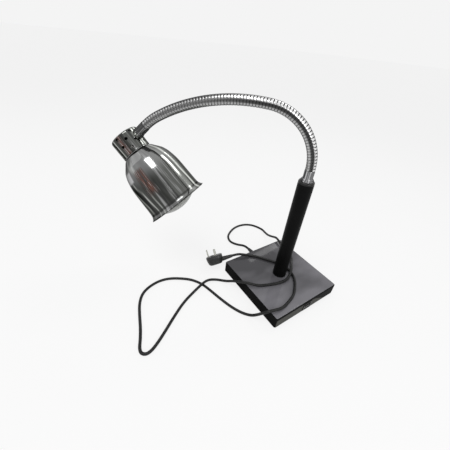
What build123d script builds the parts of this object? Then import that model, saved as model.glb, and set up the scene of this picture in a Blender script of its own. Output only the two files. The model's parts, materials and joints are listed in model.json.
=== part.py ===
"""Food heat lamp: a chrome bell shade on a gooseneck, a black post and a weighted square base.

Millimetres, +Z up. The origin is the middle of the base's underside. The neck leans toward
-X -Y, the rocker switch is in the +X side of the base, and the mains cord leaves its -X side.
"""
import os
from math import atan2, cos, degrees, radians, sin, sqrt, tan

from build123d import *

# Base: a pressed steel shell over a cover plate and a sheet pad.
base_side = 230.0
base_top = 36.0
base_wall = 2.0
base_corner = 5.0
base_edge = 3.0
pad_thick = 1.5
pad_inset = 3.0
plate_thick = 1.5
plate_gap = 0.1
ballast_margin_x = 37.0
ballast_margin_y = 20.0
ballast_thick = 12.0
ballast_corner = 4.0
spacer_radius = 5.0
spacer_inset_x = 10.0
spacer_inset_y = 10.0
plate_screw_radius = 2.0
plate_screw_head = 3.9
plate_screw_length = 12.0
block_from_wall = 24.0
block_width = 15.0
block_long = 40.0
block_under = 21.5
block_pitch = 12.0

# Clearances: a close fit inside one body, and a running fit between two.
close_fit = 0.05
running_fit = 0.05

# Post and the neck's turning spindle.
post_radius = 19.0
post_wall = 2.0
post_top = 336.0
cap_thick = 6.0
cap_spigot = 15.0
cap_round = 4.0
foot_plug_height = 20.0
nipple_radius = 6.0
nipple_bottom = 13.0
washer_radius = 14.0
washer_thick = 1.5
post_nut_across = 19.0
post_nut_thick = 6.0
cable_radius = 3.0
spindle_radius = 7.0
spindle_bore = 5.0
spindle_nut_across = 20.0
spindle_nut_thick = 6.0
flange_radius = 15.0
flange_thick = 3.0

# Gooseneck: centre line in the upright plane that faces -X -Y.
neck_heading = 225.0
neck_straight = 25.0
neck_bends = ((122.0, 85.0), (400.0, 36.0), (150.0, 14.0))
ferrule_straight = 29.0
neck_radius = 11.0
neck_root = 9.9
neck_bore = 5.5
groove_share = 0.12
crest_share = 0.32
rib_pitch = 6.5
section_count = 5
joint_gap = 3.5
socket_rim = 1.0
bead_radius = 9.3
socket_radius = 9.6
ferrule_radius = 11.5
ferrule_foot = 13.5
ferrule_seat = 9.0
ferrule_least = 28.9
spindle_past_nut = 2.0

# Head: lamp housing, shade and reflector bulb, along the head's own axis.
head_twist = -7.5
stem_height = 20.0
stem_radius = 5.0
stem_bore = 3.5
stem_nut_across = 16.0
stem_nut_thick = 5.0
stem_past_nut = 2.0
stem_seat = 14.0
head_tilt = 45.0
housing_radius = 36.0
housing_wall = 1.2
housing_length = 48.0
housing_round = 5.0
boss_radius = 12.5
boss_stand = 3.0
vent_radius = 3.75
vent_rows = ((7.0, 25.0), (17.0, 55.0), (27.0, 25.0), (38.0, 55.0))
vents_per_row = 6
bracket_thick = 1.5
bracket_level = 31.0
bracket_gap = 0.95
bracket_width = 16.0
bracket_drop = 10.0
holder_radius = 23.0
holder_skirt = 19.5
holder_back = 32.5
holder_shoulder = 44.0
holder_mouth = 66.0
holder_bore = 14.2
holder_floor = 37.0
contact_radius = 6.0
contact_seat = 3.0
holder_screw_radius = 2.0
holder_screw_head = 3.5
holder_screw_spread = 12.0
shade_wall = 1.0
shade_flange = 1.2
shade_length = 202.0
collar_top = 49.5
rim_radius = 80.5
bell_curve = (
    (0.2459, 0.0754),
    (0.4973, 0.1738),
    (0.6284, 0.2721),
    (0.7377, 0.4361),
    (0.7814, 0.6590),
    (0.8033, 0.8164),
    (0.8361, 0.9213),
)
ring_radius = 26.0
ring_thick = 5.5
bulb_radius = 62.5
bulb_apex = 217.0
bulb_edge_radius = 57.5
bulb_edge = 195.0
bulb_waist_radius = 40.0
bulb_waist_level = 118.0
bulb_shoulder_radius = 58.5
bulb_shoulder_level = 162.0
bulb_widest = 180.0
bulb_neck = 12.0
bulb_wall = 1.2
bulb_cap_radius = 13.2
bulb_cap_start = 41.0

# Rocker switch in the +X wall.
switch_level = 17.5
bezel_y = 31.0
bezel_z = 25.0
bezel_thick = 2.0
cutout_y = 28.0
cutout_z = 22.0
switch_depth = 25.0
window_y = 22.6
window_z = 19.2
rocker_depth = 16.0
rocker_pivot = 7.0
rocker_tilt = 10.0
rocker_side_gap = 0.3
trunnion_radius = 1.2
blade_y = 6.3
blade_x = 9.0
blade_z = 0.8

# Mains cord, its gland and the plug.
cord_radius = 3.75
gland_level = 17.0
gland_tip = 28.0
gland_collar = 4.0
gland_collar_radius = 9.0
gland_barrel = 6.5
gland_barrel_length = 10.0
gland_nut_across = 18.0
gland_nut_thick = 4.0
plug_pins = (-0.663, 0.042, 0.748)
plug_length = 50.0
plug_width = 48.0
plug_back_width = 36.0
plug_depth = 28.0
plug_exit_depth = 17.0
relief_length = 28.0
cord_route = (
    (-143, 0, 17),
    (-163, 0, 17),
    (-190, -12, 5),
    (-216, -25, 3.8),
    (-243, -17, 3.8),
    (-262, 5, 3.8),
    (-279, 40, 3.8),
    (-279, 80, 3.8),
    (-261, 110, 3.8),
    (-222, 128, 3.8),
    (-190, 122, 8),
    (-160, 120, 22),
    (-135, 116, 40),
    (-118, 112, 48),
    (-100, 102, 46),
    (-80, 95, 40),
    (-55, 92, 39.8),
    (-32, 82, 39.8),
    (-12, 62, 41),
    (1, 46, 49.5),
    (22, 24, 49.5),
    (35, -3, 43),
    (31, -32, 39.8),
    (21, -62, 39.8),
    (10, -90, 41),
    (-6, -110, 48.5),
    (-24, -126, 46),
    (-46, -137, 29),
    (-68, -143, 12),
    (-92, -157, 4),
    (-104, -190, 13.5),
    (-94, -222, 13.5),
    (-84, -248, 4),
    (-66, -278, 3.8),
    (-41, -315, 3.8),
    (-14, -351, 3.8),
    (5, -378, 3.8),
    (15, -396, 3.8),
    (17, -409, 3.8),
    (9, -418, 3.8),
    (-4, -417, 3.8),
    (-22, -409, 3.8),
    (-50, -399, 3.8),
    (-87, -389, 3.8),
    (-121, -378, 3.8),
    (-147, -361, 3.8),
    (-161, -336, 3.8),
    (-167, -305, 3.8),
    (-161, -274, 3.8),
    (-141, -241, 3.8),
    (-124, -221, 3.8),
    (-99, -205, 3.8),
    (-73, -197, 3.8),
    (-31, -187, 3.8),
    (6, -174, 3.8),
    (33, -158, 4),
    (55, -144, 9),
    (72, -133, 25),
    (85, -121, 45),
    (93, -103, 49),
    (96, -82, 43),
    (93, -60, 39.8),
    (83, -25, 39.8),
    (62, 2, 39.8),
    (38, 24, 39.8),
    (8, 33, 39.8),
    (-20, 29, 39.8),
    (-42, 14, 39.8),
    (-63, -2, 39.8),
    (-84, -17, 39.8),
    (-98, -34, 40),
    (-106, -52, 45),
    (-115.9, -70.6, 47.6),
    (-122.2, -86.8, 42.3),
)

os.makedirs("parts", exist_ok=True)


def unit(vector):
    """The vector with its length made one."""
    size = sqrt(sum(value * value for value in vector))
    return tuple(value / size for value in vector)


def cross(first, second):
    """The cross product of two vectors."""
    return (
        first[1] * second[2] - first[2] * second[1],
        first[2] * second[0] - first[0] * second[2],
        first[0] * second[1] - first[1] * second[0],
    )


def along(point, direction, distance):
    """The point reached from a point by a distance in a direction."""
    return tuple(start + distance * step for start, step in zip(point, direction))


def save(name, *solids):
    """Write one node, or a group of separate solids that share a node."""
    shape = solids[0] if len(solids) == 1 else Compound(children=list(solids))
    export_step(shape, "parts/" + name + ".step")


def tube(outer, inner, low, high):
    """An upright tube about the Z axis."""
    height = high - low
    ring = Circle(outer) - Circle(inner)
    return Pos(0, 0, low) * extrude(ring, height)


def rod(radius, low, high):
    """An upright rod about the Z axis."""
    return Pos(0, 0, low) * extrude(Circle(radius), high - low)


def hex_nut(across, bore, low, high):
    """A hexagon nut about the Z axis, across its flats."""
    flat = RegularPolygon(across / 2, 6, major_radius=False) - Circle(bore)
    return Pos(0, 0, low) * extrude(flat, high - low)


# Sheet pad, bottom cover and shell.
half = base_side / 2
pad_side = base_side - 2 * pad_inset
pad_outline = fillet(Rectangle(pad_side, pad_side).vertices(), base_corner)
save("base_pad", extrude(pad_outline, pad_thick))

plate_side = base_side - 2 * base_wall - 2 * plate_gap
plate_top = pad_thick + plate_thick
ballast_x = base_side - 2 * ballast_margin_x
ballast_y = base_side - 2 * ballast_margin_y
spacer_x = ballast_x / 2 - spacer_inset_x
spacer_y = ballast_y / 2 - spacer_inset_y
spacer_places = [(x, y) for x in (-spacer_x, spacer_x) for y in (-spacer_y, spacer_y)]
plate_outline = fillet(Rectangle(plate_side, plate_side).vertices(), base_corner - base_wall)
base_plate = Pos(0, 0, pad_thick) * extrude(plate_outline, plate_thick)
screw_hole = Pos(0, 0, pad_thick) * Cone(
    plate_screw_head + close_fit,
    plate_screw_radius + close_fit,
    plate_thick,
    align=(Align.CENTER, Align.CENTER, Align.MIN),
)
for x, y in spacer_places:
    base_plate -= Pos(x, y, 0) * screw_hole
save("base_plate", base_plate)

shell_height = base_top - pad_thick
shell_outline = fillet(Rectangle(base_side, base_side).vertices(), base_corner)
shell = Pos(0, 0, pad_thick) * extrude(shell_outline, shell_height)
shell = fillet(shell.faces().sort_by(Axis.Z)[-1].edges(), base_edge)
inner_side = base_side - 2 * base_wall
inner_outline = fillet(Rectangle(inner_side, inner_side).vertices(), base_corner - base_wall)
shell -= Pos(0, 0, pad_thick) * extrude(inner_outline, shell_height - base_wall)
shell -= Pos(0, 0, base_top / 2) * Cylinder(nipple_radius + close_fit, base_top * 2)
shell -= Pos(half, 0, switch_level) * Box(base_wall * 4, cutout_y, cutout_z)
gland_hole = Cylinder(gland_barrel + close_fit, base_wall * 4, rotation=(0, 90, 0))
shell -= Pos(-half, 0, gland_level) * gland_hole
save("base_shell", shell)

# Ballast, the spacers under it and the screws that hold the cover.
ballast_top = base_top - base_wall
ballast_low = ballast_top - ballast_thick
ballast = Pos(0, 0, ballast_low) * extrude(Rectangle(ballast_x, ballast_y), ballast_thick)
ballast = chamfer(ballast.edges().filter_by(Axis.Z), ballast_corner)
ballast -= rod(nipple_radius + close_fit, ballast_low - 1, ballast_top + 1)
save("base_ballast", ballast)

spacer = tube(spacer_radius, plate_screw_radius + close_fit, plate_top, ballast_low)
save("base_spacers", *[Pos(x, y, 0) * spacer for x, y in spacer_places])

plate_screw = Pos(0, 0, pad_thick) * Cone(
    plate_screw_head,
    plate_screw_radius,
    plate_thick,
    align=(Align.CENTER, Align.CENTER, Align.MIN),
)
plate_screw += rod(plate_screw_radius, plate_top, pad_thick + plate_screw_length)
slot_depth = plate_thick / 2
plate_screw -= Pos(0, 0, pad_thick + slot_depth / 2) * Box(2 * plate_screw_head, 1, slot_depth)
save("base_plate_screws", *[Pos(x, y, 0) * plate_screw for x, y in spacer_places])

# Post: tube, foot plug, hollow nipple, washer, nut and the wires' sleeve.
tube_bore = post_radius - post_wall
tube_top = post_top - cap_thick
save("post_tube", tube(post_radius, tube_bore, base_top, tube_top))

plug_top = base_top + foot_plug_height
foot_plug = tube(tube_bore, nipple_radius + close_fit, base_top, plug_top)
save("post_foot_plug", chamfer(foot_plug.faces().sort_by(Axis.Z)[-1].outer_wire().edges(), 1.5))

nipple_bore = cable_radius + close_fit
save("post_nipple", tube(nipple_radius, nipple_bore, nipple_bottom, plug_top))
washer_low = ballast_low - washer_thick
save("post_washer", tube(washer_radius, nipple_radius + close_fit, washer_low, ballast_low))
nut_low = washer_low - post_nut_thick
save("post_nut", hex_nut(post_nut_across, nipple_radius + close_fit, nut_low, washer_low))

cap_low = tube_top - cap_spigot
cap = rod(post_radius, tube_top, post_top)
cap = fillet(cap.faces().sort_by(Axis.Z)[-1].edges(), cap_round)
cap += rod(tube_bore, cap_low, tube_top)
cap -= rod(spindle_radius + running_fit, cap_low - 1, post_top + 1)
save("post_cap", cap)

# Gooseneck centre line: a straight, three arcs and a straight, in one upright plane.
heading = radians(neck_heading)
neck_level = (cos(heading), sin(heading), 0.0)
neck_side = (-neck_level[1], neck_level[0], 0.0)


def neck_frame(distance):
    """Point and direction of the neck's centre line at a distance from the post's top."""
    reach, height, tilt = 0.0, post_top, 0.0
    pieces = [(neck_straight, 0.0)]
    pieces += [(radius * radians(turn), radius) for radius, turn in neck_bends]
    pieces += [(ferrule_straight, 0.0)]
    for number, (length, radius) in enumerate(pieces):
        last = number == len(pieces) - 1
        step = distance if last else min(distance, length)
        if radius:
            turned = tilt + step / radius
            reach += radius * (cos(tilt) - cos(turned))
            height += radius * (sin(turned) - sin(tilt))
            tilt = turned
        else:
            reach += step * sin(tilt)
            height += step * cos(tilt)
        distance -= step
        if distance <= 1e-9:
            break
    place = (reach * neck_level[0], reach * neck_level[1], height)
    direction = (sin(tilt) * neck_level[0], sin(tilt) * neck_level[1], cos(tilt))
    return place, direction


def neck_plane(distance, offset=0.0):
    """Plane square to the neck, its X axis always across the neck's own plane."""
    place, direction = neck_frame(distance)
    return Plane(origin=along(place, direction, offset), x_dir=neck_side, z_dir=direction)


def neck_length():
    """Length of the neck's centre line from the post's top to the housing's wall."""
    bends = sum(radius * radians(turn) for radius, turn in neck_bends)
    return neck_straight + bends + ferrule_straight


def ring_at(distance, radius):
    """Circle of the given radius, square to the neck at a distance."""
    return neck_plane(distance) * Circle(radius)


# Each section starts with a bead that sits in the socket of the section before it. As many
# whole ribs as the neck has room for are shared out among the sections.
ribbed_length = neck_length() - neck_straight - ferrule_least
section_room = (ribbed_length - (section_count - 1) * joint_gap) / section_count
ribs_per_section = int(section_room / rib_pitch)
section_length = ribs_per_section * rib_pitch
section_starts = [
    neck_straight + number * (section_length + joint_gap) for number in range(section_count)
]
joint_places = [start - joint_gap + socket_rim for start in section_starts[1:]]
for number, start in enumerate(section_starts):
    end = start + section_length
    rings = []
    for rib in range(ribs_per_section):
        foot = start + rib * rib_pitch
        rings.append(ring_at(foot + groove_share * rib_pitch, neck_root))
        rings.append(ring_at(foot + crest_share * rib_pitch, neck_radius))
        rings.append(ring_at(foot + (1 - crest_share) * rib_pitch, neck_radius))
        rings.append(ring_at(foot + (1 - groove_share) * rib_pitch, neck_root))
    rings = [ring_at(start, neck_root), *rings, ring_at(end, neck_root)]
    section = loft(rings, ruled=True)
    if number > 0:
        joint = neck_plane(joint_places[number - 1])
        stub = Pos(0, 0, 2) * Cylinder(bead_radius - 1.5, 8)
        bead = Sphere(bead_radius) & Pos(0, 0, -2.5) * Box(3 * bead_radius, 3 * bead_radius, 12)
        section += joint * (bead + stub)
    if number < section_count - 1:
        section -= neck_plane(joint_places[number]) * Sphere(socket_radius)
    cutter = [ring_at(start - 12 + 6 * step, neck_bore) for step in range(20)]
    section -= loft([ring for ring in cutter], ruled=True)
    save("neck_section_" + str(number + 1), section)
    print("neck section", number + 1, "volume", round(section.volume), "solids", len(section.solids()))
for number, place in enumerate(joint_places):
    print("neck joint", number + 1, [round(value, 3) for value in neck_frame(place)[0]])

# Foot of the neck: flange, ferrule and the spindle that turns in the cap.
flange = Pos(0, 0, post_top) * extrude(Circle(flange_radius), flange_thick)
flange = chamfer(flange.faces().sort_by(Axis.Z)[-1].edges(), 0.8)
flange -= rod(spindle_radius + close_fit, post_top - 1, post_top + flange_thick + 1)
save("neck_flange", flange)

ferrule_low = post_top + flange_thick
ferrule_high = post_top + neck_straight
foot_high = ferrule_low + 4
with BuildPart() as lower_ferrule:
    with BuildSketch(Plane.XZ):
        with BuildLine():
            Polyline(
                (spindle_radius + close_fit, ferrule_low),
                (ferrule_foot, ferrule_low),
                (ferrule_foot, ferrule_low + 2),
                (ferrule_radius, foot_high),
                (ferrule_radius, ferrule_high - 1),
                (neck_radius, ferrule_high),
                (neck_bore, ferrule_high),
                (neck_bore, ferrule_low + ferrule_seat),
                (spindle_radius + close_fit, ferrule_low + ferrule_seat),
                close=True,
            )
        make_face()
    revolve(axis=Axis.Z)
save("lower_ferrule", lower_ferrule.part)

spindle_nut_low = cap_low - spindle_nut_thick
spindle_low = spindle_nut_low - spindle_past_nut
save("neck_spindle", tube(spindle_radius, spindle_bore, spindle_low, ferrule_low + ferrule_seat))
spindle_nut = hex_nut(spindle_nut_across, spindle_radius + close_fit, spindle_nut_low, cap_low)
save("spindle_nut", spindle_nut)

# Supply cable inside the base and post, from the terminal block up to the spindle.
cable_top = spindle_nut_low - 6
block_x = -half + block_from_wall
block_low = ballast_top - block_under
block_side = block_x + block_width / 2
cable_path = FilletPolyline(
    (block_side, 0, 17),
    (block_side + 12, 0, 17),
    (block_side + 34, 0, 8),
    (0, 0, 8),
    (0, 0, cable_top),
    radius=[15.0, 15.0, 4.9],
)
save("post_cable", sweep(Plane(cable_path @ 0, z_dir=cable_path % 0) * Circle(cable_radius), cable_path))

block = Pos(block_x, 0, block_low) * extrude(Rectangle(block_width, block_long), block_under)
block = fillet(block.edges().filter_by(Axis.Z), 1.5)
for y in (-block_pitch, 0.0, block_pitch):
    block -= Pos(block_x - 3, y, block_low) * Cylinder(2.05, 10)
save("terminal_block", block)
block_screw = Cylinder(2.0, 3.4, align=(Align.CENTER, Align.CENTER, Align.MIN))
block_screw -= Pos(0, 0, 0.4) * Box(5, 0.7, 0.8)
screw_rows = (-block_pitch, 0.0, block_pitch)
block_screws = [Pos(block_x - 3, y, block_low + 1.6) * block_screw for y in screw_rows]
save("terminal_screws", *block_screws)

# Head, in its own frame: Z from the housing's closed end to the rim, X away from the neck.
neck_total = neck_length()
neck_end, stem_way = neck_frame(neck_total)
tilt_back, tilt_down = -cos(radians(head_tilt)), -sin(radians(head_tilt))
plumb = (neck_level[0] * tilt_back, neck_level[1] * tilt_back, tilt_down)
side = cross(plumb, stem_way)
twist = radians(head_twist)
head_way = unit(tuple(cos(twist) * p + sin(twist) * s for p, s in zip(plumb, side)))
housing_middle = along(neck_end, stem_way, housing_radius)
head_origin = along(housing_middle, head_way, -stem_height)
head = Plane(origin=head_origin, x_dir=stem_way, z_dir=head_way)
print("neck length", round(neck_total, 2), "neck end", [round(v, 2) for v in neck_end])
print("stem way", [round(v, 5) for v in stem_way], "head way", [round(v, 5) for v in head_way])
print("head origin", [round(v, 3) for v in head_origin])
stem_line = Plane(origin=(0, 0, stem_height), x_dir=(0, 1, 0), z_dir=(1, 0, 0))


def across_rod(radius, low, high):
    """A rod on the stem's line in the head's frame, from one X to another."""
    return stem_line * (Pos(0, 0, low) * extrude(Circle(radius), high - low))


# Upper ferrule and the hollow stem that carries the head.
boss_face = housing_radius + boss_stand
section_end = section_starts[-1] + section_length
ferrule_start = -housing_radius - (neck_total - section_end)
with BuildPart() as upper_ferrule:
    with BuildSketch(Plane.XZ):
        with BuildLine():
            Polyline(
                (neck_bore, ferrule_start),
                (neck_radius, ferrule_start),
                (ferrule_radius, ferrule_start + 1),
                (ferrule_radius, -boss_face - 6),
                (boss_radius, -boss_face - 2),
                (boss_radius, -boss_face),
                (stem_radius + close_fit, -boss_face),
                (stem_radius + close_fit, -boss_face - stem_seat),
                (neck_bore, -boss_face - stem_seat),
                close=True,
            )
        make_face()
    revolve(axis=Axis.Z)
save("upper_ferrule", head * (stem_line * upper_ferrule.part))

leg_outer = -(housing_radius - housing_wall - bracket_gap)
leg_inner = leg_outer + bracket_thick
stem_end = leg_inner + stem_nut_thick + stem_past_nut
stem_tube = across_rod(stem_radius, -boss_face - stem_seat, stem_end)
stem_tube -= across_rod(stem_bore, -boss_face - stem_seat - 1, stem_end + 1)
save("neck_stem", head * stem_tube)
stem_nut = RegularPolygon(stem_nut_across / 2, 6, major_radius=False)
stem_nut -= Circle(stem_radius + close_fit)
stem_nut = stem_line * (Pos(0, 0, leg_inner) * extrude(stem_nut, stem_nut_thick))
save("stem_nut", head * stem_nut)

# Housing: a spun cup with a boss for the stem and staggered rows of vents.
housing = rod(housing_radius, 0, housing_length)
housing = fillet(housing.faces().sort_by(Axis.Z)[0].edges(), housing_round)
housing += across_rod(boss_radius, -boss_face, -housing_radius + 4)
hollow = rod(housing_radius - housing_wall, housing_wall, housing_length + 1)
housing -= fillet(hollow.faces().sort_by(Axis.Z)[0].edges(), housing_round - housing_wall)
housing -= across_rod(stem_radius + running_fit, -boss_face - 1, 0)
vent = Pos(housing_radius, 0, 0) * Cylinder(vent_radius, 10, rotation=(0, 90, 0))
for level, first in vent_rows:
    for number in range(vents_per_row):
        turn = first + 180 + number * 360 / vents_per_row
        from_stem = abs((turn - 180 + 180) % 360 - 180)
        reach = sqrt((radians(from_stem) * housing_radius) ** 2 + (level - stem_height) ** 2)
        if reach > boss_radius + vent_radius:
            housing -= Rot(0, 0, turn) * (Pos(0, 0, level) * vent)
print("housing solids", [round(solid.volume, 3) for solid in housing.solids()])
save("socket_housing", head * housing)

# Bracket from the stem to the lamp holder, and the holder with its contacts.
leg_low = stem_height - bracket_drop
leg = Pos(leg_outer, 0, leg_low) * Box(
    bracket_thick,
    bracket_width,
    bracket_level + bracket_thick - leg_low,
    align=(Align.MIN, Align.CENTER, Align.MIN),
)
shelf = Pos(leg_outer, 0, bracket_level) * Box(
    -leg_outer,
    bracket_width,
    bracket_thick,
    align=(Align.MIN, Align.CENTER, Align.MIN),
)
bracket = leg + shelf + rod(holder_radius - 4, bracket_level, bracket_level + bracket_thick)
bracket -= across_rod(stem_radius + running_fit, leg_outer - 1, leg_inner + 1)
for y in (-holder_screw_spread, holder_screw_spread):
    bracket -= Pos(0, y, 0) * rod(holder_screw_radius + close_fit, bracket_level - 1, holder_back + 1)
save("holder_bracket", head * bracket)

holder = rod(holder_radius, holder_back, holder_shoulder)
holder = chamfer(holder.faces().sort_by(Axis.Z)[0].edges(), 2)
holder += rod(holder_skirt, holder_shoulder, holder_mouth)
holder -= rod(holder_bore + close_fit, holder_floor + contact_seat, holder_mouth + 1)
holder -= rod(contact_radius + close_fit, holder_floor, holder_floor + contact_seat)
for y in (-holder_screw_spread, holder_screw_spread):
    holder -= Pos(0, y, 0) * rod(holder_screw_radius, holder_back - 1, holder_floor - 0.5)
save("lamp_holder", head * holder)

shell_wall = holder_bore - bulb_cap_radius - close_fit
save(
    "holder_shell",
    head * tube(holder_bore, holder_bore - shell_wall, holder_floor + contact_seat, holder_mouth - 6),
)
contact = rod(contact_radius, holder_floor, holder_floor + 1)
contact += rod(2.5, holder_floor + 1, bulb_cap_start - 1)
save("holder_contact", head * contact)
holder_screw = rod(holder_screw_head, bracket_level - 2, bracket_level)
holder_screw += rod(holder_screw_radius, bracket_level, holder_floor - 1)
holder_screw -= Pos(0, 0, bracket_level - 1.5) * Box(8, 0.9, 1)
save(
    "holder_screws",
    *[head * (Pos(0, y, 0) * holder_screw) for y in (-holder_screw_spread, holder_screw_spread)],
)

# Shade: a collar in the housing, a spun bell and a flared lip.
collar_radius = housing_radius - housing_wall - close_fit
bell_height = shade_length - collar_top
bell_flare = rim_radius - collar_radius
bell = [(collar_radius, collar_top)]
bell += [(collar_radius + out * bell_flare, collar_top + up * bell_height) for out, up in bell_curve]
bell.append((rim_radius, shade_length))


def sheet_inside(outside, wall):
    """Points of a turned sheet's inner face: each outer point moved square to its two runs."""
    moved = []
    for before, here, after in zip(outside, outside[1:], outside[2:]):
        first = unit((here[0] - before[0], here[1] - before[1]))
        second = unit((after[0] - here[0], after[1] - here[1]))
        normal = unit((first[1] + second[1], -first[0] - second[0]))
        lean = normal[0] * second[1] - normal[1] * second[0]
        moved.append((here[0] - wall / lean * normal[0], here[1] - wall / lean * normal[1]))
    return moved


rim_edge = 0.6 * shade_wall
shade_profile = [(collar_radius, holder_shoulder), *bell]
shade_inside = [
    (rim_radius - rim_edge, shade_length),
    *reversed(sheet_inside(bell, shade_wall)),
    (collar_radius - shade_wall, collar_top + 0.5 * shade_wall),
    (collar_radius - shade_wall, holder_shoulder + shade_flange),
    (holder_skirt + close_fit, holder_shoulder + shade_flange),
    (holder_skirt + close_fit, holder_shoulder),
]
with BuildPart() as shade:
    with BuildSketch(Plane.XZ):
        with BuildLine():
            Polyline(*shade_profile, *shade_inside, close=True)
        make_face()
    revolve(axis=Axis.Z)
save("shade", head * shade.part)

ring_low = holder_shoulder + shade_flange
ring = rod(ring_radius, ring_low, ring_low + ring_thick)
ring = chamfer(ring.faces().sort_by(Axis.Z)[-1].edges(), 1)
ring -= rod(holder_skirt + close_fit, ring_low - 1, ring_low + ring_thick + 1)
save("shade_ring", head * ring)

# Reflector bulb: contact, screw cap and blown glass with a domed face.
bulb_contact = rod(5, bulb_cap_start - 1, bulb_cap_start)
save("bulb_contact", head * bulb_contact)
bulb_cap = rod(bulb_cap_radius, bulb_cap_start, holder_mouth)
bulb_cap = chamfer(bulb_cap.faces().sort_by(Axis.Z)[0].edges(), 3)
bulb_cap -= rod(bulb_cap_radius - 1, bulb_cap_start + 4, holder_mouth + 1)
save("bulb_cap", head * bulb_cap)


neck_wide = bulb_cap_radius + 1.5 * bulb_wall
neck_high = holder_mouth + bulb_neck
waist = (bulb_waist_radius, bulb_waist_level)
waist_inside = (waist[0] - 0.9 * bulb_wall, waist[1] + 0.6 * bulb_wall)
shoulder = (bulb_shoulder_radius, bulb_shoulder_level)
shoulder_inside = (shoulder[0] - bulb_wall, shoulder[1] + 0.25 * bulb_wall)
glass_inner = bulb_cap_radius - bulb_wall
face_drop = bulb_apex - bulb_edge
face_radius = (bulb_edge_radius**2 + face_drop**2) / (2 * face_drop)
face_centre = bulb_apex - face_radius


def on_face(reach, depth):
    """Point of the bulb's domed face at a reach from the axis, a depth under the outside."""
    return (reach, face_centre + sqrt((face_radius - depth) ** 2 - reach**2))


with BuildPart() as bulb:
    with BuildSketch(Plane.XZ):
        with BuildLine():
            inner_edge = on_face(bulb_edge_radius - 0.7 * bulb_wall, bulb_wall)
            face_half = bulb_edge_radius / 2
            Line((bulb_cap_radius, holder_mouth), (neck_wide, neck_high))
            ThreePointArc((neck_wide, neck_high), waist, shoulder)
            ThreePointArc(shoulder, (bulb_radius, bulb_widest), (bulb_edge_radius, bulb_edge))
            ThreePointArc((bulb_edge_radius, bulb_edge), on_face(face_half, 0), on_face(0, 0))
            Line(on_face(0, 0), on_face(0, bulb_wall))
            ThreePointArc(on_face(0, bulb_wall), on_face(face_half, bulb_wall), inner_edge)
            ThreePointArc(inner_edge, (bulb_radius - bulb_wall, bulb_widest), shoulder_inside)
            ThreePointArc(shoulder_inside, waist_inside, (neck_wide - bulb_wall, neck_high))
            Line((neck_wide - bulb_wall, neck_high), (glass_inner, holder_mouth))
            Line((glass_inner, holder_mouth), (bulb_cap_radius, holder_mouth))
        make_face()
    revolve(axis=Axis.Z)
bulb = bulb.part
save("bulb_glass", head * bulb)

# Rocker switch: frame with its window, rocker on trunnions, blades behind.
switch_face = half + bezel_thick
frame_box = Pos(half, 0, switch_level) * Box(
    bezel_thick,
    bezel_y,
    bezel_z,
    align=(Align.MIN, Align.CENTER, Align.CENTER),
)
frame_box = chamfer(frame_box.faces().sort_by(Axis.X)[-1].edges(), 0.8)
frame_box += Pos(half - switch_depth, 0, switch_level) * Box(
    switch_depth,
    cutout_y - 2 * close_fit,
    cutout_z - 2 * close_fit,
    align=(Align.MIN, Align.CENTER, Align.CENTER),
)
frame_box -= Pos(switch_face + 1, 0, switch_level) * Box(
    rocker_depth + 3,
    window_y,
    window_z,
    align=(Align.MAX, Align.CENTER, Align.CENTER),
)
pivot_x = switch_face - rocker_pivot
pivot_hole = Cylinder(trunnion_radius + running_fit, window_y + 3, rotation=(90, 0, 0))
frame_box -= Pos(pivot_x, 0, switch_level) * pivot_hole
save("switch_frame", frame_box)

rocker_half = window_z / 2 - 0.5
rocker_y = window_y - 2 * rocker_side_gap
with BuildSketch(Plane.XZ) as rocker_sketch:
    Circle(rocker_half)
    with BuildSketch(mode=Mode.INTERSECT):
        with Locations((-2, 0)):
            Rectangle(2 * rocker_half - 2, 2 * rocker_half)
rocker_sketch_face = make_face(
    Polyline(
        (0, -rocker_half),
        (rocker_pivot + 0.6, -rocker_half + 1.1),
        (rocker_pivot - 0.8, 0),
        (rocker_pivot + 0.6, rocker_half - 1.1),
        (0, rocker_half),
        (-3, rocker_half - 1.5),
        (-3, -rocker_half + 1.5),
        close=True,
    )
)
rocker = Plane.XZ * rocker_sketch_face
rocker = Pos(0, rocker_y / 2, 0) * extrude(rocker, rocker_y)
trunnion = Cylinder(trunnion_radius, window_y + 2, rotation=(90, 0, 0))
rocker = rocker + trunnion
rocker = Pos(pivot_x, 0, switch_level) * (Rot(0, rocker_tilt, 0) * rocker)
print("rocker bounds", rocker.bounding_box())
save("switch_rocker", rocker)
print("rocker pivot", round(pivot_x, 3), switch_level)

blade = Box(blade_x, blade_y, blade_z, align=(Align.MAX, Align.CENTER, Align.CENTER))
blade_places = [(y, z) for y in (-7.5, 7.5) for z in (-5.0, 5.0)]
blades = [Pos(half - switch_depth, y, switch_level + z) * blade for y, z in blade_places]
save("switch_blades", *blades)

# Cord gland in the -X wall, its nut, and the cord's tail to the terminal block.
with BuildPart() as gland:
    with BuildSketch(Plane.XZ):
        with BuildLine():
            Polyline(
                (0, -gland_barrel_length),
                (gland_barrel, -gland_barrel_length),
                (gland_barrel, 0),
                (gland_collar_radius, 0),
                (gland_collar_radius, gland_collar - 1),
                (gland_collar_radius - 1, gland_collar),
                (7.0, gland_collar),
                (cord_radius + 1.0, gland_tip),
                (0, gland_tip),
                close=True,
            )
        make_face()
    revolve(axis=Axis.Z)
gland_plane = Plane(origin=(-half, 0, gland_level), x_dir=(0, 1, 0), z_dir=(-1, 0, 0))
save("cord_gland", gland_plane * gland.part)
gland_nut = RegularPolygon(gland_nut_across / 2, 6, major_radius=False)
gland_nut -= Circle(gland_barrel + close_fit)
gland_nut = Pos(0, 0, -base_wall - gland_nut_thick) * extrude(gland_nut, gland_nut_thick)
save("gland_nut", gland_plane * gland_nut)
tail_length = half - gland_barrel_length + block_x - block_width / 2
cord_tail = Pos(0, 0, -gland_barrel_length - tail_length) * extrude(Circle(cord_radius), tail_length)
save("cord_tail", gland_plane * cord_tail)

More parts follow.
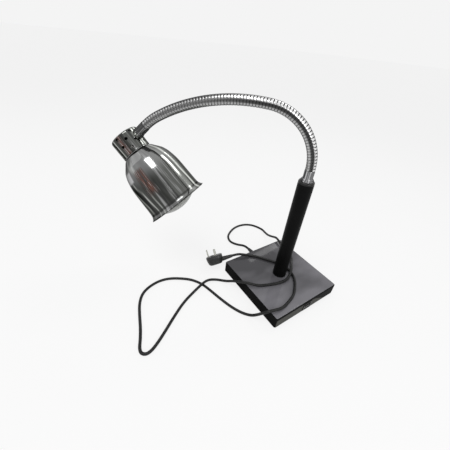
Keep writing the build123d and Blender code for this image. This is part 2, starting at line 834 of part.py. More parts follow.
# Mains cord: runs joined by tangent arcs, from inside the gland to the plug's relief.
cord_points = [tuple(float(value) for value in point) for point in cord_route]
radii = []
length = 0.0
for before, here, after in zip(cord_points, cord_points[1:], cord_points[2:]):
    first = tuple(b - a for a, b in zip(before, here))
    second = tuple(b - a for a, b in zip(here, after))
    first_run = sqrt(sum(v * v for v in first))
    second_run = sqrt(sum(v * v for v in second))
    dot = sum(a * b for a, b in zip(first, second))
    swept = cross(first, second)
    turn = atan2(sqrt(sum(v * v for v in swept)), dot)
    radii.append(0.45 * min(first_run, second_run) / tan(turn / 2))
cord_path = FilletPolyline(*cord_points, radius=radii)
print("cord radii", [round(value, 1) for value in radii])
print("cord length", round(cord_path.length, 1))
cord_section = Plane(cord_path @ 0, z_dir=cord_path % 0) * Circle(cord_radius)
cord = sweep(cord_section, cord_path)
section_area = 3.14159265 * cord_radius**2
print("cord volume", round(cord.volume, 1), "section x length", round(section_area * cord_path.length, 1))
save("power_cord", cord)

# Plug: a moulded three-pin body with a tapered relief where the cord leaves it.
cord_end = cord_points[-1]
plug_way = unit(tuple(b - a for a, b in zip(cord_end, cord_points[-2])))
plug_exit = along(cord_end, plug_way, -relief_length)
pin_way = unit(plug_pins)
pin_way = unit(along(pin_way, plug_way, -sum(a * b for a, b in zip(pin_way, plug_way))))
plug_width_way = cross(pin_way, plug_way)
face_middle = along(along(plug_exit, plug_way, -plug_length / 2), pin_way, plug_exit_depth)
plug = Plane(origin=face_middle, x_dir=plug_way, z_dir=pin_way)
face_outline = fillet(Rectangle(plug_length, plug_width).vertices(), 9)
back_outline = fillet(Rectangle(plug_length - 6, plug_back_width).vertices(), 7)
plug_body = extrude(face_outline, -10)
plug_body += loft([Pos(0, 0, -10) * face_outline, Pos(-1, 0, -plug_depth) * back_outline])
relief_plane = Plane(
    origin=(plug_length / 2 - 6, 0, -plug_exit_depth),
    x_dir=(0, 1, 0),
    z_dir=(1, 0, 0),
)
relief_hole = relief_plane * Cylinder(7 + close_fit, 12)
plug_body -= relief_hole
save("plug_body", plug * plug_body)

with BuildPart() as relief:
    with BuildSketch(Plane.XZ):
        with BuildLine():
            Polyline((0, 0), (7, 0), (7, 6), (cord_radius + 0.9, 6 + relief_length), (0, 6 + relief_length), close=True)
        make_face()
    revolve(axis=Axis.Z)
save("plug_relief", plug * (relief_plane * relief.part))

pin_align = (Align.CENTER, Align.CENTER, Align.MIN)
earth_pin = chamfer(Box(4, 8, 22.7, align=pin_align).faces().sort_by(Axis.Z)[-1].edges(), 1)
earth_pin = Pos(-17, 0, 0) * earth_pin
save("plug_earth_pin", plug * earth_pin)
live_pin = chamfer(Box(6.35, 4, 17.7, align=pin_align).faces().sort_by(Axis.Z)[-1].edges(), 1)
save("plug_power_pins", *[plug * (Pos(5.2, y, 0) * live_pin) for y in (-11.1, 11.1)])
fuse_carrier = fillet(Box(9, 29, 1.2, align=pin_align).edges().filter_by(Axis.Z), 1.5)
save("plug_fuse_carrier", plug * (Pos(-6, 0, 0) * fuse_carrier))
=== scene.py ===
"""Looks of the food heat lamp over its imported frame.

Every length in the classes below is in millimetres, as on a drawing, and goes into the meshes in
metres. The base's middle on the floor is the origin, +Z is up, and the neck leans toward -X -Y.
"""

import json
import logging
import math
from dataclasses import dataclass, field
from enum import Enum
from typing import Callable, ClassVar, Iterable, Sequence

import bmesh
import bpy
import numpy as np
from mathutils import Matrix

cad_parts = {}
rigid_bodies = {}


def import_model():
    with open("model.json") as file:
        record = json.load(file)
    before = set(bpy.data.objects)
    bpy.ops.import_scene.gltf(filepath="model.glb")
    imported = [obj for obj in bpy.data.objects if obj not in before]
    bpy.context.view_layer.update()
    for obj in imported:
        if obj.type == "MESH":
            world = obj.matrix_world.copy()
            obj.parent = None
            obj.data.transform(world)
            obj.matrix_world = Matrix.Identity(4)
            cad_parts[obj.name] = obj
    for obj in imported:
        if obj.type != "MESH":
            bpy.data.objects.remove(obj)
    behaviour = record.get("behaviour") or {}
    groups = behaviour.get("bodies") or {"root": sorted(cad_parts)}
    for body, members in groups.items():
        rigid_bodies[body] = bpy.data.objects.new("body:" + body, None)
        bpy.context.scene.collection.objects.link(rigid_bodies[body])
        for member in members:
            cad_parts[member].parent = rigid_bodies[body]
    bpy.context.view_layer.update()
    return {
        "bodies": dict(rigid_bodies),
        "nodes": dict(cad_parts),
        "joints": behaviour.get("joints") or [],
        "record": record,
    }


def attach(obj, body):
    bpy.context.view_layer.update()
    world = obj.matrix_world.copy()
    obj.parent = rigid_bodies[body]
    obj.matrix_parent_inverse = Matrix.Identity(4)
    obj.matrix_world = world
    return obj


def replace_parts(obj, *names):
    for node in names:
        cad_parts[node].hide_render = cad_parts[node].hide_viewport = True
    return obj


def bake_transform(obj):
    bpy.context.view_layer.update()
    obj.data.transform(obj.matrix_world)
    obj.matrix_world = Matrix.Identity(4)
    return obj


LOG = logging.getLogger("heat_lamp")
MM = 0.001
Points = np.ndarray
Piece = bpy.types.Object
Material = bpy.types.Material
Socket = bpy.types.NodeSocket
Triple = tuple[float, float, float]
Tint = Triple
Limits = tuple[float, float, float, float]
Pair = tuple[float, float]
Pairs = tuple[Pair, ...]


def unit(vector: Sequence[float]) -> Points:
    """The vector with its length made one."""
    array = np.asarray(vector, float)
    return array / np.linalg.norm(array)


@dataclass(frozen=True)
class Axes:
    """A local frame: an origin in millimetres and three unit directions."""

    origin: Points  # where the local origin lies
    x: Points  # direction of local X
    z: Points  # direction of local Z; local Y is z cross x

    @property
    def y(self) -> Points:
        """Direction of local Y."""
        return np.cross(self.z, self.x)

    def place(self, local: Points) -> Points:
        """Local points in the lamp's own frame, still in millimetres."""
        x, y, z = local[..., 0:1], local[..., 1:2], local[..., 2:3]
        return self.origin + x * self.x + y * self.y + z * self.z


UP = np.array([0.0, 0.0, 1.0])
UPRIGHT = Axes(np.zeros(3), np.array([1.0, 0.0, 0.0]), UP)


def smooth_profile(points: Sequence[Pair], steps: int) -> Points:
    """A curve through the points of a profile.

    Each run between two points is the cubic whose end slopes are half the chord between the
    neighbours on each side (a Catmull-Rom spline), sampled at equal steps.

    Args:
        points: Radius and height pairs, in order.
        steps: Samples in each run.

    Returns:
        An array of radius and height pairs.
    """
    knots = np.asarray(points, float)
    padded = np.vstack([2 * knots[0] - knots[1], knots, 2 * knots[-1] - knots[-2]])
    t = np.linspace(0, 1, steps, endpoint=False)[None, :, None]
    before, start, end, after = (padded[i : len(knots) - 1 + i][:, None] for i in range(4))
    curve = 0.5 * (
        2 * start
        + (end - before) * t
        + (2 * before - 5 * start + 4 * end - after) * t**2
        + (3 * start - before - 3 * end + after) * t**3
    )
    return np.vstack([curve.reshape(-1, 2), knots[-1:]])


def corner_arc(centre: Pair, radius: float, start: float, end: float) -> Points:
    """Points of a circle's arc from one angle to another, in degrees."""
    angle = np.radians(np.linspace(start, end, 7))
    return np.c_[centre[0] + radius * np.cos(angle), centre[1] + radius * np.sin(angle)]


def bored(outline: Sequence[Pair] | Points, bore: float) -> Points:
    """A closed profile: an outline from bottom to top, joined by the wall of a straight bore."""
    points = np.asarray(outline, float)
    low, high = points[0, 1], points[-1, 1]
    return np.vstack([[(bore, low)], points, [(bore, high), (bore, low)]])


def in_scene(name: str, data: bpy.types.ID) -> Piece:
    """A new object of the scene."""
    made = bpy.data.objects.new(name, data)
    bpy.context.scene.collection.objects.link(made)
    return made


def mesh_object(name: str, vertices: Points, faces: Points, around: Points | None = None) -> Piece:
    """A mesh object from whole arrays.

    Args:
        name: Name of the piece.
        vertices: Points in metres, one row each.
        faces: Four vertex numbers in each row.
        around: The place of each vertex on its surface, if the finish follows the surface: the
            cosine and sine of its angle round the axis, and its distance along in metres.

    Returns:
        The object, linked into the scene and smooth shaded.
    """
    mesh = bpy.data.meshes.new(name)
    mesh.from_pydata(vertices.tolist(), [], faces.tolist())
    if around is not None:
        layer = mesh.attributes.new("around", "FLOAT_VECTOR", "POINT")
        layer.data.foreach_set("vector", around.astype(np.float32).ravel())
    mesh.polygons.foreach_set("use_smooth", np.ones(len(mesh.polygons), bool))
    mesh.update()
    return in_scene(name, mesh)


def ring_faces(rings: int, columns: int) -> Points:
    """Quads between rings of vertices, which are numbered ring by ring."""
    across = np.arange(columns)
    down = np.arange(rings - 1)[:, None]
    right = (across + 1) % columns
    corners = [down * columns + across, down * columns + right]
    corners += [(down + 1) * columns + right, (down + 1) * columns + across]
    return np.stack(corners, -1).reshape(-1, 4)


def around_axis(radius: Points | float, angle: Points, height: Points) -> Points:
    """Points (radius cos a, radius sin a, height) for an angle a, over whole arrays."""
    parts = np.broadcast_arrays(radius * np.cos(angle), radius * np.sin(angle), height)
    return np.stack(parts, -1)


def turned(name: str, profile: Points, axes: Axes, segments: int = 96) -> Piece:
    """A turned piece: the profile carried once round local Z.

    A vertex is (radius cos a, radius sin a, height) for a profile point and an angle a. Its
    "around" attribute is (cos a, sin a, distance along the profile in metres).

    Args:
        name: Name of the piece.
        profile: Radius and height pairs in millimetres, in order.
        axes: Where the piece's axis lies.
        segments: Steps round the axis.

    Returns:
        The mesh object.
    """
    angle = np.linspace(0, 2 * np.pi, segments, endpoint=False)
    radius, height = profile[:, :1], profile[:, 1:]
    local = around_axis(radius, angle, height)
    run = np.r_[0, np.cumsum(np.linalg.norm(np.diff(profile, axis=0), axis=1))] * MM
    around = around_axis(1.0, angle, run[:, None])
    vertices = axes.place(local).reshape(-1, 3) * MM
    faces = ring_faces(len(profile), segments)
    return tidy_mesh(mesh_object(name, vertices, faces, around.reshape(-1, 3)))


def tidy_mesh(made: Piece, sharp: float = 40.0) -> Piece:
    """Merges doubled vertices, turns the faces outwards and keeps true edges sharp."""
    work = bmesh.new()
    work.from_mesh(made.data)
    bmesh.ops.remove_doubles(work, verts=work.verts, dist=2e-6)
    bmesh.ops.dissolve_degenerate(work, dist=1e-7, edges=work.edges)
    bmesh.ops.recalc_face_normals(work, faces=work.faces)
    work.to_mesh(made.data)
    work.free()
    made.data.set_sharp_from_angle(angle=math.radians(sharp))
    return made


class Value:
    """What a node gives, with the sums and mixes that can follow it."""

    def __init__(self, graph: "Graph", socket: Socket) -> None:
        """Keeps the socket and the graph that it belongs to."""
        self.graph = graph
        self.socket = socket

    def into(self, kind: str, entry: str, outlet: str | int, **values: object) -> "Value":
        """Adds a node, leads this value into one of its inputs and returns one of its outputs."""
        node = self.graph.add(kind, **values)
        self.graph.give(node.inputs[entry], self)
        return Value(self.graph, node.outputs[outlet])

    def calc(self, kind: str, *others: "Value | float") -> "Value":
        """A sum such as MAXIMUM or FRACT of this value and others."""
        return self.graph.filled("ShaderNodeMath", range(3), (self, *others), operation=kind)

    def __add__(self, other: "Value | float") -> "Value":
        """The total of two values."""
        return self.calc("ADD", other)

    def __sub__(self, other: "Value | float") -> "Value":
        """The difference of two values."""
        return self.calc("SUBTRACT", other)

    def __mul__(self, other: "Value | float") -> "Value":
        """The product of two values."""
        return self.calc("MULTIPLY", other)

    def spread(self, low: float, high: float) -> "Value":
        """A value from 0 to 1 carried to the range from low to high."""
        return self.into("ShaderNodeMapRange", "Value", "Result", to_min=low, to_max=high)

    def fade(self, low: float, high: float) -> "Value":
        """A value that passes smoothly from 0 at low to 1 at high, whichever is larger."""
        limits = {"from_min": low, "from_max": high, "interpolation_type": "SMOOTHSTEP"}
        return self.into("ShaderNodeMapRange", "Value", "Result", **limits)

    def within(self, start: float, full: float, fading: float, end: float) -> "Value":
        """A value that rises from 0 at start to 1 at full and falls from fading to 0 at end."""
        return self.fade(start, full) * self.fade(end, fading)

    def noise(self, scale: Triple, detail: float) -> "Value":
        """Noise over a place, whose grain can differ in each direction."""
        grain = self.into("ShaderNodeMapping", "Vector", "Vector", scale=scale)
        return grain.into("ShaderNodeTexNoise", "Vector", "Fac", scale=1.0, detail=detail)

    def part(self, axis: str) -> "Value":
        """One coordinate of a place."""
        return self.into("ShaderNodeSeparateXYZ", "Vector", axis)

    def colour(self, stops: Iterable[tuple[float, Tint]]) -> "Value":
        """A colour ramp over a value."""
        made = self.into("ShaderNodeValToRGB", "Fac", "Color")  # has two stops at first
        elements = made.socket.node.color_ramp.elements
        for number, (position, tint) in enumerate(stops):
            element = elements[number] if number < len(elements) else elements.new(1.0)
            element.position = position
            element.color = (*tint, 1.0)
        return made

    def blend(self, share: "Value", other: "Value | Tint") -> "Value":
        """This colour mixed with another one by a share."""
        given = (share, self, other)
        return self.graph.filled("ShaderNodeMix", (0, 6, 7), given, 2, data_type="RGBA")


class Graph:
    """The nodes of one material or of the world."""

    def __init__(self, owner: Material | bpy.types.World, shader: str) -> None:
        """Starts on the owner's own nodes.

        Args:
            owner: The material or the world.
            shader: Name of the node that takes the finished values.
        """
        owner.use_nodes = True
        self.owner = owner
        self.tree = owner.node_tree
        self.shader = self.tree.nodes[shader]

    @classmethod
    def of_material(cls, name: str) -> "Graph":
        """The graph of a new material."""
        return cls(bpy.data.materials.new(name), "Principled BSDF")

    def add(self, kind: str, **values: object) -> bpy.types.Node:
        """Adds a node; each value is an input by name, or a property if no input has that name."""
        node = self.tree.nodes.new(kind)
        for key, value in values.items():
            label = key.replace("_", " ").title()
            if label in node.inputs:
                node.inputs[label].default_value = value
            else:
                setattr(node, key, value)
        return node

    def give(self, entry: Socket, value: Value | Tint | float) -> None:
        """Gives an input its value: a number or a colour stays constant, a node's is linked."""
        if isinstance(value, Value):
            self.tree.links.new(value.socket, entry)
        else:
            entry.default_value = (*value, 1.0) if isinstance(value, tuple) else value

    def filled(
        self, kind: str, entries: Iterable[int], given: Iterable, outlet: int = 0, **values: object
    ) -> Value:
        """Adds a node, gives its numbered inputs their values and returns one of its outputs."""
        node = self.add(kind, **values)
        for entry, value in zip(entries, given):
            self.give(node.inputs[entry], value)
        return Value(self, node.outputs[outlet])

    def put(self, **values: Value | Tint | float) -> None:
        """Gives the shader its inputs, each by its name in small letters."""
        entries = {entry.name.lower().replace(" ", "_"): entry for entry in self.shader.inputs}
        for name, value in values.items():
            self.give(entries[name], value)

    def bump(self, height: Value, depth: float, strength: float) -> None:
        """Gives the shader a bump of the given depth in metres."""
        size = {"strength": strength, "distance": depth}
        self.put(normal=height.into("ShaderNodeBump", "Height", "Normal", **size))

    def source(self, kind: str, outlet: str | int, **values: object) -> Value:
        """What a new node without a link gives."""
        return Value(self, self.add(kind, **values).outputs[outlet])

    def object_place(self) -> Value:
        """Object coordinates, in metres."""
        return self.source("ShaderNodeTexCoord", "Object")

    def surface_place(self) -> Value:
        """The piece's own "around" attribute: cosine, sine and metres along."""
        return self.source("ShaderNodeAttribute", "Vector", attribute_name="around")

    def ray(self, kind: str) -> Value:
        """1 where a ray of this kind meets the surface, or else 0."""
        return self.source("ShaderNodeLightPath", f"Is {kind} Ray")

    def mirrored(self) -> Value:
        """1 where a mirror or a glass shows the surface, or else 0."""
        return self.ray("Glossy").calc("MAXIMUM", self.ray("Transmission"))


def grey(value: float) -> Tint:
    """A neutral colour."""
    return (value, value, value)


def olive(value: float) -> Tint:
    """A grey with a trace of green."""
    return (0.97 * value, value, 0.94 * value)


def toned(bands: Pairs, tone: Callable[[float], Tint]) -> list[tuple[float, Tint]]:
    """Stops of a colour ramp, from places and levels."""
    return [(at, tone(level)) for at, level in bands]


@dataclass(frozen=True)
class Plating:
    """What every polished plating shares: mirror metal with smears and a slightly uneven sheet."""

    name: str
    deep: Tint = (0.030, 0.030, 0.031)  # reflectance of the darkest places: painted dark reflections and painted shade
    light: Tint = (0.62, 0.62, 0.63)  # reflectance of the brightest places: painted reflections and painted highlights
    roughness: float = 0.04  # roughness of the cleanest places
    edge: Tint = (0.3, 0.3, 0.3)  # tint of the reflection at a glancing angle

    def material(self) -> Material:
        """Builds the material on the piece's own surface, with painted reflections, smears and
        unevenness.
        """
        graph = Graph.of_material(self.name)
        place = graph.surface_place()
        smear = graph.object_place().noise((60.0,) * 3, 4.0)
        graph.put(
            # painted reflections in the base colour
            base_color=self.tint(place),
            roughness=smear.spread(self.roughness, self.roughness + 0.1),
            metallic=1.0,
            specular_tint=self.edge,
        )
        graph.bump(place.noise((7.0, 7.0, 14.0), 1.0), 0.0002, 0.15)
        return graph.owner

    def tint(self, place: Value) -> Value:
        """The reflectance over the surface, with its painted reflections; each kind of plating has
        its own.
        """
        raise NotImplementedError


@dataclass(frozen=True)
class StreakedPlating(Plating):
    """Plating with painted reflection streaks from end to end, as on the sleeves and the flange."""

    plain: Tint = (0.30, 0.30, 0.31)  # reflectance of most of the plating
    streaks: float = 2.2  # streaks in a turn, divided by six
    # levels of the noise at which the five tones lie
    stops: tuple[float, ...] = (0.34, 0.42, 0.50, 0.58, 0.68)

    def tint(self, place: Value) -> Value:
        """Painted reflection streaks of the dark, the plain and the light tone."""
        broad = place.noise((self.streaks, self.streaks, 3.0), 2.0)
        tones = (self.deep, self.plain, self.deep, self.light, self.plain)
        return broad.colour(zip(self.stops, tones))


@dataclass(frozen=True)
class Mark:
    """A painted highlight or painted shade on the bell."""

    along: Limits  # distances along, in metres, at which it starts, is full, fades and ends
    share: float  # how far it goes to its tone
    bright: bool  # whether it is a painted highlight in the brightest tone, or else painted shade in the darkest
    # the same four limits round the axis, in turns, or None for a whole ring
    turn: Limits | None = None


@dataclass(frozen=True)
class BellPlating(Plating):
    """Plating of the spun bell and its housing, with painted reflections: dark and light bands by
    turns round the axis.
    """

    # share of a turn and reflectance of the painted reflection bands, in order round the axis
    bands: Pairs = (
        (0.00, 0.12), (0.30, 0.12), (0.40, 0.24), (0.47, 0.15), (0.492, 0.14), (0.500, 0.80),
        (0.510, 0.80), (0.520, 0.13), (0.545, 0.28), (0.57, 0.12), (0.61, 0.11), (0.645, 0.09),
        (0.675, 0.035), (0.70, 0.09), (0.725, 0.05), (0.735, 0.30), (0.745, 0.05), (0.785, 0.08),
        (0.797, 0.46), (0.809, 0.05), (0.838, 0.05), (0.850, 0.40), (0.862, 0.13), (0.90, 0.17),
    )
    warm_reflection: Tint = (0.118, 0.062, 0.05)  # reflectance of the warm streaks, which are painted reflections
    # distances along, in metres, at which those streaks start, are full, fade and end
    warm: Limits = (0.048, 0.06, 0.105, 0.125)
    warm_side: Limits = (0.68, 0.705, 0.735, 0.76)  # the same four limits round the axis, in turns
    # distances along between which the lighter shoulder, a painted reflection, passes into the wall
    shoulder: Pair = (0.05, 0.095)
    pale: float = 0.24  # how much lighter the shoulder's painted reflection is, as a share
    # painted highlight on the shoulder, painted shade in the crease where the lip turns out,
    # painted highlight on the lip and painted shade on its brim
    marks: tuple[Mark, ...] = (
        Mark((0.041, 0.047, 0.066, 0.072), 0.75, True, (0.778, 0.79, 0.85, 0.862)),
        Mark((0.1538, 0.155, 0.1582, 0.1594), 0.6, False),
        Mark((0.1598, 0.161, 0.166, 0.1672), 0.18, True),
        Mark((0.1683, 0.1695, 0.174, 0.1752), 0.5, False),
    )
    # turns between which the last bands begin, the ones that lean
    leaning: Pair = (0.73, 0.78)
    sweep: float = 0.75  # how far they lean, in turns for each metre along
    wander: float = 0.035  # how far a band's edge wanders, as a share of a turn
    end: float = 0.0  # height in metres below which a flat end has a plain tone, or 0 for none
    face: float = 0.2  # reflectance of that end

    def tint(self, place: Value) -> Value:
        """The painted reflection bands, their streaks and the marks of painted highlight and shade;
        a turn starts on the side away from the neck.
        """
        turn = (place.part("Y").calc("ARCTAN2", place.part("X")) * (0.5 / math.pi)).calc("FRACT")
        along = place.part("Z")
        drift = (place.noise((1.2, 1.2, 9.0), 1.0) - 0.5) * (2 * self.wander)
        if self.sweep:
            drift = drift + (along - 0.1) * self.sweep * turn.fade(*self.leaning)
        # painted reflections: the bands of reflectance round the axis
        tint = (turn + drift).colour(toned(self.bands, olive))
        # painted reflections: random lighter and darker streaks over the bands
        tint = tint.blend(place.noise((11.0, 11.0, 8.0), 2.0).fade(0.58, 0.70) * 0.35, self.light)
        tint = tint.blend(place.noise((6.0, 6.0, 7.0), 2.0).fade(0.54, 0.66) * 0.7, self.deep)
        # painted reflection: a lighter shoulder
        if self.pale:
            tint = tint.blend(along.fade(*self.shoulder[::-1]) * self.pale, self.light)
        # painted reflections: a darkened side with warm streaks and painted glints of highlight
        side = turn.within(*self.warm_side) * along.within(*self.warm)
        warm = place.noise((30.0, 30.0, 26.0), 3.0).fade(0.46, 0.54)
        glint = place.noise((42.0, 42.0, 20.0), 2.0).fade(0.58, 0.64)
        tint = tint.blend(side * 0.7, self.deep).blend(warm * side, self.warm_reflection)
        tint = tint.blend(glint * (side * 0.45), self.light)
        # painted highlights and painted shade of the marks
        for mark in self.marks:
            share = along.within(*mark.along) * mark.share
            if mark.turn:
                share = share * turn.within(*mark.turn)
            tint = tint.blend(share, self.light if mark.bright else self.deep)
        if self.end:
            tint = tint.blend(along.fade(self.end, 0.3 * self.end), olive(self.face))
        return tint


@dataclass(frozen=True)
class RibbedPlating(Plating):
    """Plating of the gooseneck, with painted reflection bands by the side of the tube and painted
    shade in its grooves.

    A band's place is half of one plus the sine of the angle round the tube: 0 on the inside of
    the arc, 1 on its outside.
    """

    # painted reflection bands near the post, where they have the most contrast
    near: Pairs = (
        (0.00, 0.07), (0.08, 0.30), (0.20, 0.55), (0.31, 0.30), (0.37, 0.07), (0.56, 0.04),
        (0.65, 0.10), (0.70, 0.60), (0.86, 0.90), (0.96, 0.50),
    )
    # painted reflection bands near the head
    far: Pairs = (
        (0.00, 0.05), (0.10, 0.16), (0.20, 0.50), (0.34, 0.34), (0.42, 0.17), (0.57, 0.13),
        (0.67, 0.22), (0.80, 0.34), (0.93, 0.13),
    )
    # distances along the neck between which near passes into far, in metres
    change: Pair = (0.19, 0.33)
    wander: float = 0.12  # how far a band's edge wanders
    rib: float = 0.0065  # length of one rib in metres
    # distances from a rib's middle, in ribs, between which the painted shade of its groove begins
    groove: Pair = (0.24, 0.40)
    # weight of the painted shade in the grooves on the inside of the arc and on its outside
    groove_shade: Pair = (0.25, 0.97)

    def tint(self, place: Value) -> Value:
        """The painted reflection bands, and the painted shade in the grooves."""
        outward, along = place.part("Y"), place.part("Z")
        drift = (place.noise((0.6, 0.6, 12.0), 2.0) - 0.5) * self.wander
        where = outward.calc("MULTIPLY_ADD", 0.5, 0.5) + drift
        # painted reflections: bands by the side of the tube, near the post and near the head
        near, far = (where.colour(toned(bands, grey)) for bands in (self.near, self.far))
        # painted shade in the grooves between the ribs, heavier on the outside of the arc
        phase = (along * (1.0 / self.rib)).calc("FRACT")
        edge = (phase - 0.5).calc("ABSOLUTE").fade(*self.groove)
        groove_shade = edge * outward.fade(0.25, 0.75).spread(*self.groove_shade)
        return near.blend(along.fade(*self.change), far).blend(groove_shade, self.deep)


@dataclass(frozen=True)
class Pattern:
    """The clouds and the grain of one kind of finish."""

    clouds: float  # clouds to a metre
    detail: float  # detail of the clouds
    # levels of the clouds at which the main tone ends and the other one is full
    stops: Pair
    rougher: float  # how much rougher the roughest places are
    grain: Triple  # grains to a metre in each direction
    strength: float  # strength of the grain


@dataclass(frozen=True)
class Finish:
    """What the dull finishes share: two tones in clouds, and a fine grain."""

    name: str
    clean: Tint  # main colour, or the reflectance of a metal
    other: Tint  # colour of the dusty, rubbed or stained places
    roughness: float  # lowest roughness
    grain: float = 0.03  # depth of the grain in millimetres
    gloss: float = 0.5  # specular level
    pattern: ClassVar[Pattern]

    def material(self) -> Material:
        """Builds the material on object coordinates."""
        graph = Graph.of_material(self.name)
        place = graph.object_place()
        kind = self.pattern
        cloud = place.noise((kind.clouds,) * 3, kind.detail)
        tint = cloud.colour(zip(kind.stops, (self.clean, self.other)))
        graph.put(
            base_color=self.covered(place, tint),
            roughness=cloud.spread(self.roughness, self.roughness + kind.rougher),
            specular_ior_level=self.gloss,
            **self.extras(place),
        )
        graph.bump(place.noise(kind.grain, 2.0), self.grain * MM, kind.strength)
        return graph.owner

    def covered(self, place: Value, tint: Value) -> Value:
        """The colour with what lies over it."""
        return tint

    def extras(self, place: Value) -> dict[str, Value | float]:
        """Further inputs of the shader, by name."""
        return {}


@dataclass(frozen=True)
class Paint(Finish):
    """Sprayed enamel with a faint orange peel and a little dust."""

    coat: float = 0.0  # weight of the clear top layer
    pattern = Pattern(14.0, 6.0, (0.35, 0.75), 0.12, (900.0,) * 3, 0.3)

    def extras(self, place: Value) -> dict[str, Value | float]:
        """The clear top layer."""
        return {"coat_weight": self.coat, "coat_roughness": 0.05}


@dataclass(frozen=True)
class SheenedEnamel(Paint):
    """The base's enamel: glossy, with a painted sheen that lightens the top and a painted
    reflection of the floor that lightens the lower band of the switch's wall.
    """

    top: float = 0.036  # height of the top in metres
    painted_sheen: Tint = (0.190, 0.186, 0.202)  # colour of the painted sheen on the top
    faint_sheen: float = 0.35  # share of that colour where the painted sheen is faintest
    # places along X + 0.6 Y, in metres, between which the painted sheen grows lighter
    sheen_ramp: Pair = (-0.13, 0.1)
    # colour of the lower band of the switch's wall, a painted reflection of the floor
    low: Tint = (0.085, 0.085, 0.078)
    wall: float = 0.115  # distance of that wall from the middle, in metres
    # places along the wall, in metres, between which the band's edge comes down
    slope: Pair = (0.015, 0.095)
    drop: float = 0.028  # how far it comes down, in metres
    band: Pair = (0.83, 0.76)  # shares of the height between which it begins

    def above(self, place: Value) -> Value:
        """1 on the top, 0 on the walls."""
        return place.part("Z").fade(self.top - 0.0006, self.top)

    def extras(self, place: Value) -> dict[str, Value | float]:
        """The clear layer, on the top alone."""
        return super().extras(place) | {"coat_weight": self.above(place) * self.coat}

    def covered(self, place: Value, tint: Value) -> Value:
        """The enamel with its painted sheen on the top and its painted floor reflection on the
        switch's wall.
        """
        x, y, height = (place.part(axis) for axis in "XYZ")
        # painted sheen: the top is lighter towards +X and +Y, with random variation
        sheen_grade = y.calc("MULTIPLY_ADD", 0.6, x).fade(*self.sheen_ramp) - 0.62
        sheen_share = sheen_grade.calc("MULTIPLY_ADD", 0.2, place.noise((9.0, 5.0, 9.0), 3.0))
        faint_sheen = tuple(self.faint_sheen * level for level in self.painted_sheen)
        tint = tint.blend(self.above(place), sheen_share.colour(((0.35, faint_sheen), (0.62, self.painted_sheen))))
        # painted reflection of the floor: the lower band of the switch's wall is lighter, its edge
        # sloping along the wall
        raised = y.fade(*self.slope).calc("MULTIPLY_ADD", self.drop, height)
        under = raised.fade(*(share * self.top for share in self.band))
        return tint.blend(under * x.fade(self.wall - 0.001, self.wall), self.low)


@dataclass(frozen=True)
class Moulded(Finish):
    """Moulded plastic or rubber with a fine spark-eroded grain."""

    pattern = Pattern(55.0, 5.0, (0.4, 0.72), 0.15, (2500.0,) * 3, 0.5)


@dataclass(frozen=True)
class BareMetal(Finish):
    """Plated or turned metal without polish: screws, nuts, pins and contacts."""

    pattern = Pattern(120.0, 5.0, (0.35, 0.75), 0.2, (1800.0, 1800.0, 90.0), 0.4)

    def extras(self, place: Value) -> dict[str, Value | float]:
        """Metal all over."""
        return {"metallic": 1.0}


@dataclass(frozen=True)
class FrostedGlass:
    """The bulb's acid-frosted glass, clear enough to glow with what is behind it."""

    name: str = "bulb_frosted_glass"
    # colours of the frost, where it is thickest and thinnest
    clouds: tuple[Tint, Tint] = ((0.29, 0.30, 0.28), (0.40, 0.41, 0.385))
    # colour where the glass is seen edge on, through more of its wall
    edge: Tint = (0.09, 0.095, 0.085)

    def material(self) -> Material:
        """Builds the material on object coordinates."""
        graph = Graph.of_material(self.name)
        cloud = graph.object_place().noise((45.0,) * 3, 3.0)
        facing = graph.source("ShaderNodeLayerWeight", "Facing", blend=0.5)
        tint = cloud.colour(zip((0.3, 0.7), self.clouds))
        graph.put(
            base_color=tint.blend(facing.fade(0.72, 0.93) * 0.85, self.edge),
            roughness=cloud.spread(0.28, 0.4),
            transmission_weight=0.15,
            specular_ior_level=0.25,
            coat_weight=0.3,
            coat_roughness=0.04,
        )
        return graph.owner


class Metal(Enum):
    """The finishes that several sub-assemblies share, by name."""

    CHROME = BellPlating("mirror_chrome", roughness=0.06)
    HOUSING = BellPlating(
        "housing_chrome", warm=(0.001, 0.003, 0.05, 0.06), pale=0.0, marks=(), sweep=0.0, end=0.003
    )
    NECK = RibbedPlating("neck_chrome", roughness=0.07)
    SLEEVE = StreakedPlating("sleeve_chrome")
    UPPER_SLEEVE = StreakedPlating(
        "upper_sleeve_chrome", light=grey(0.42), plain=grey(0.12), streaks=5.5
    )
    ZINC = BareMetal("zinc_plate", (0.62, 0.63, 0.64), (0.42, 0.42, 0.42), 0.28)
    BRASS = BareMetal("contact_brass", (0.74, 0.62, 0.38), (0.50, 0.40, 0.22), 0.2)
    PIN = BareMetal("plug_pin_plate", (0.44, 0.44, 0.41), (0.28, 0.28, 0.25), 0.3)
    NICKEL = BareMetal("nickel_cap", (0.66, 0.65, 0.62), (0.45, 0.44, 0.42), 0.22)

    def make(self) -> Material:
        """The material, built once and shared."""
        return bpy.data.materials.get(self.value.name) or self.value.material()


def dress(frame: dict, material: Material, *nodes: str) -> None:
    """Gives CAD nodes a material."""
    for node in nodes:
        for slot in frame["nodes"][node].material_slots:
            slot.material = material
        LOG.info("%s keeps its own mesh in %s", node, material.name)


def finish_piece(piece: Piece, material: Material, body: str) -> Piece:
    """Gives a new piece its material and its body, and reports it."""
    piece.data.materials.clear()
    piece.data.materials.append(material)
    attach(piece, body)
    LOG.info("%s made in %s on %s", piece.name, material.name, body)
    return piece


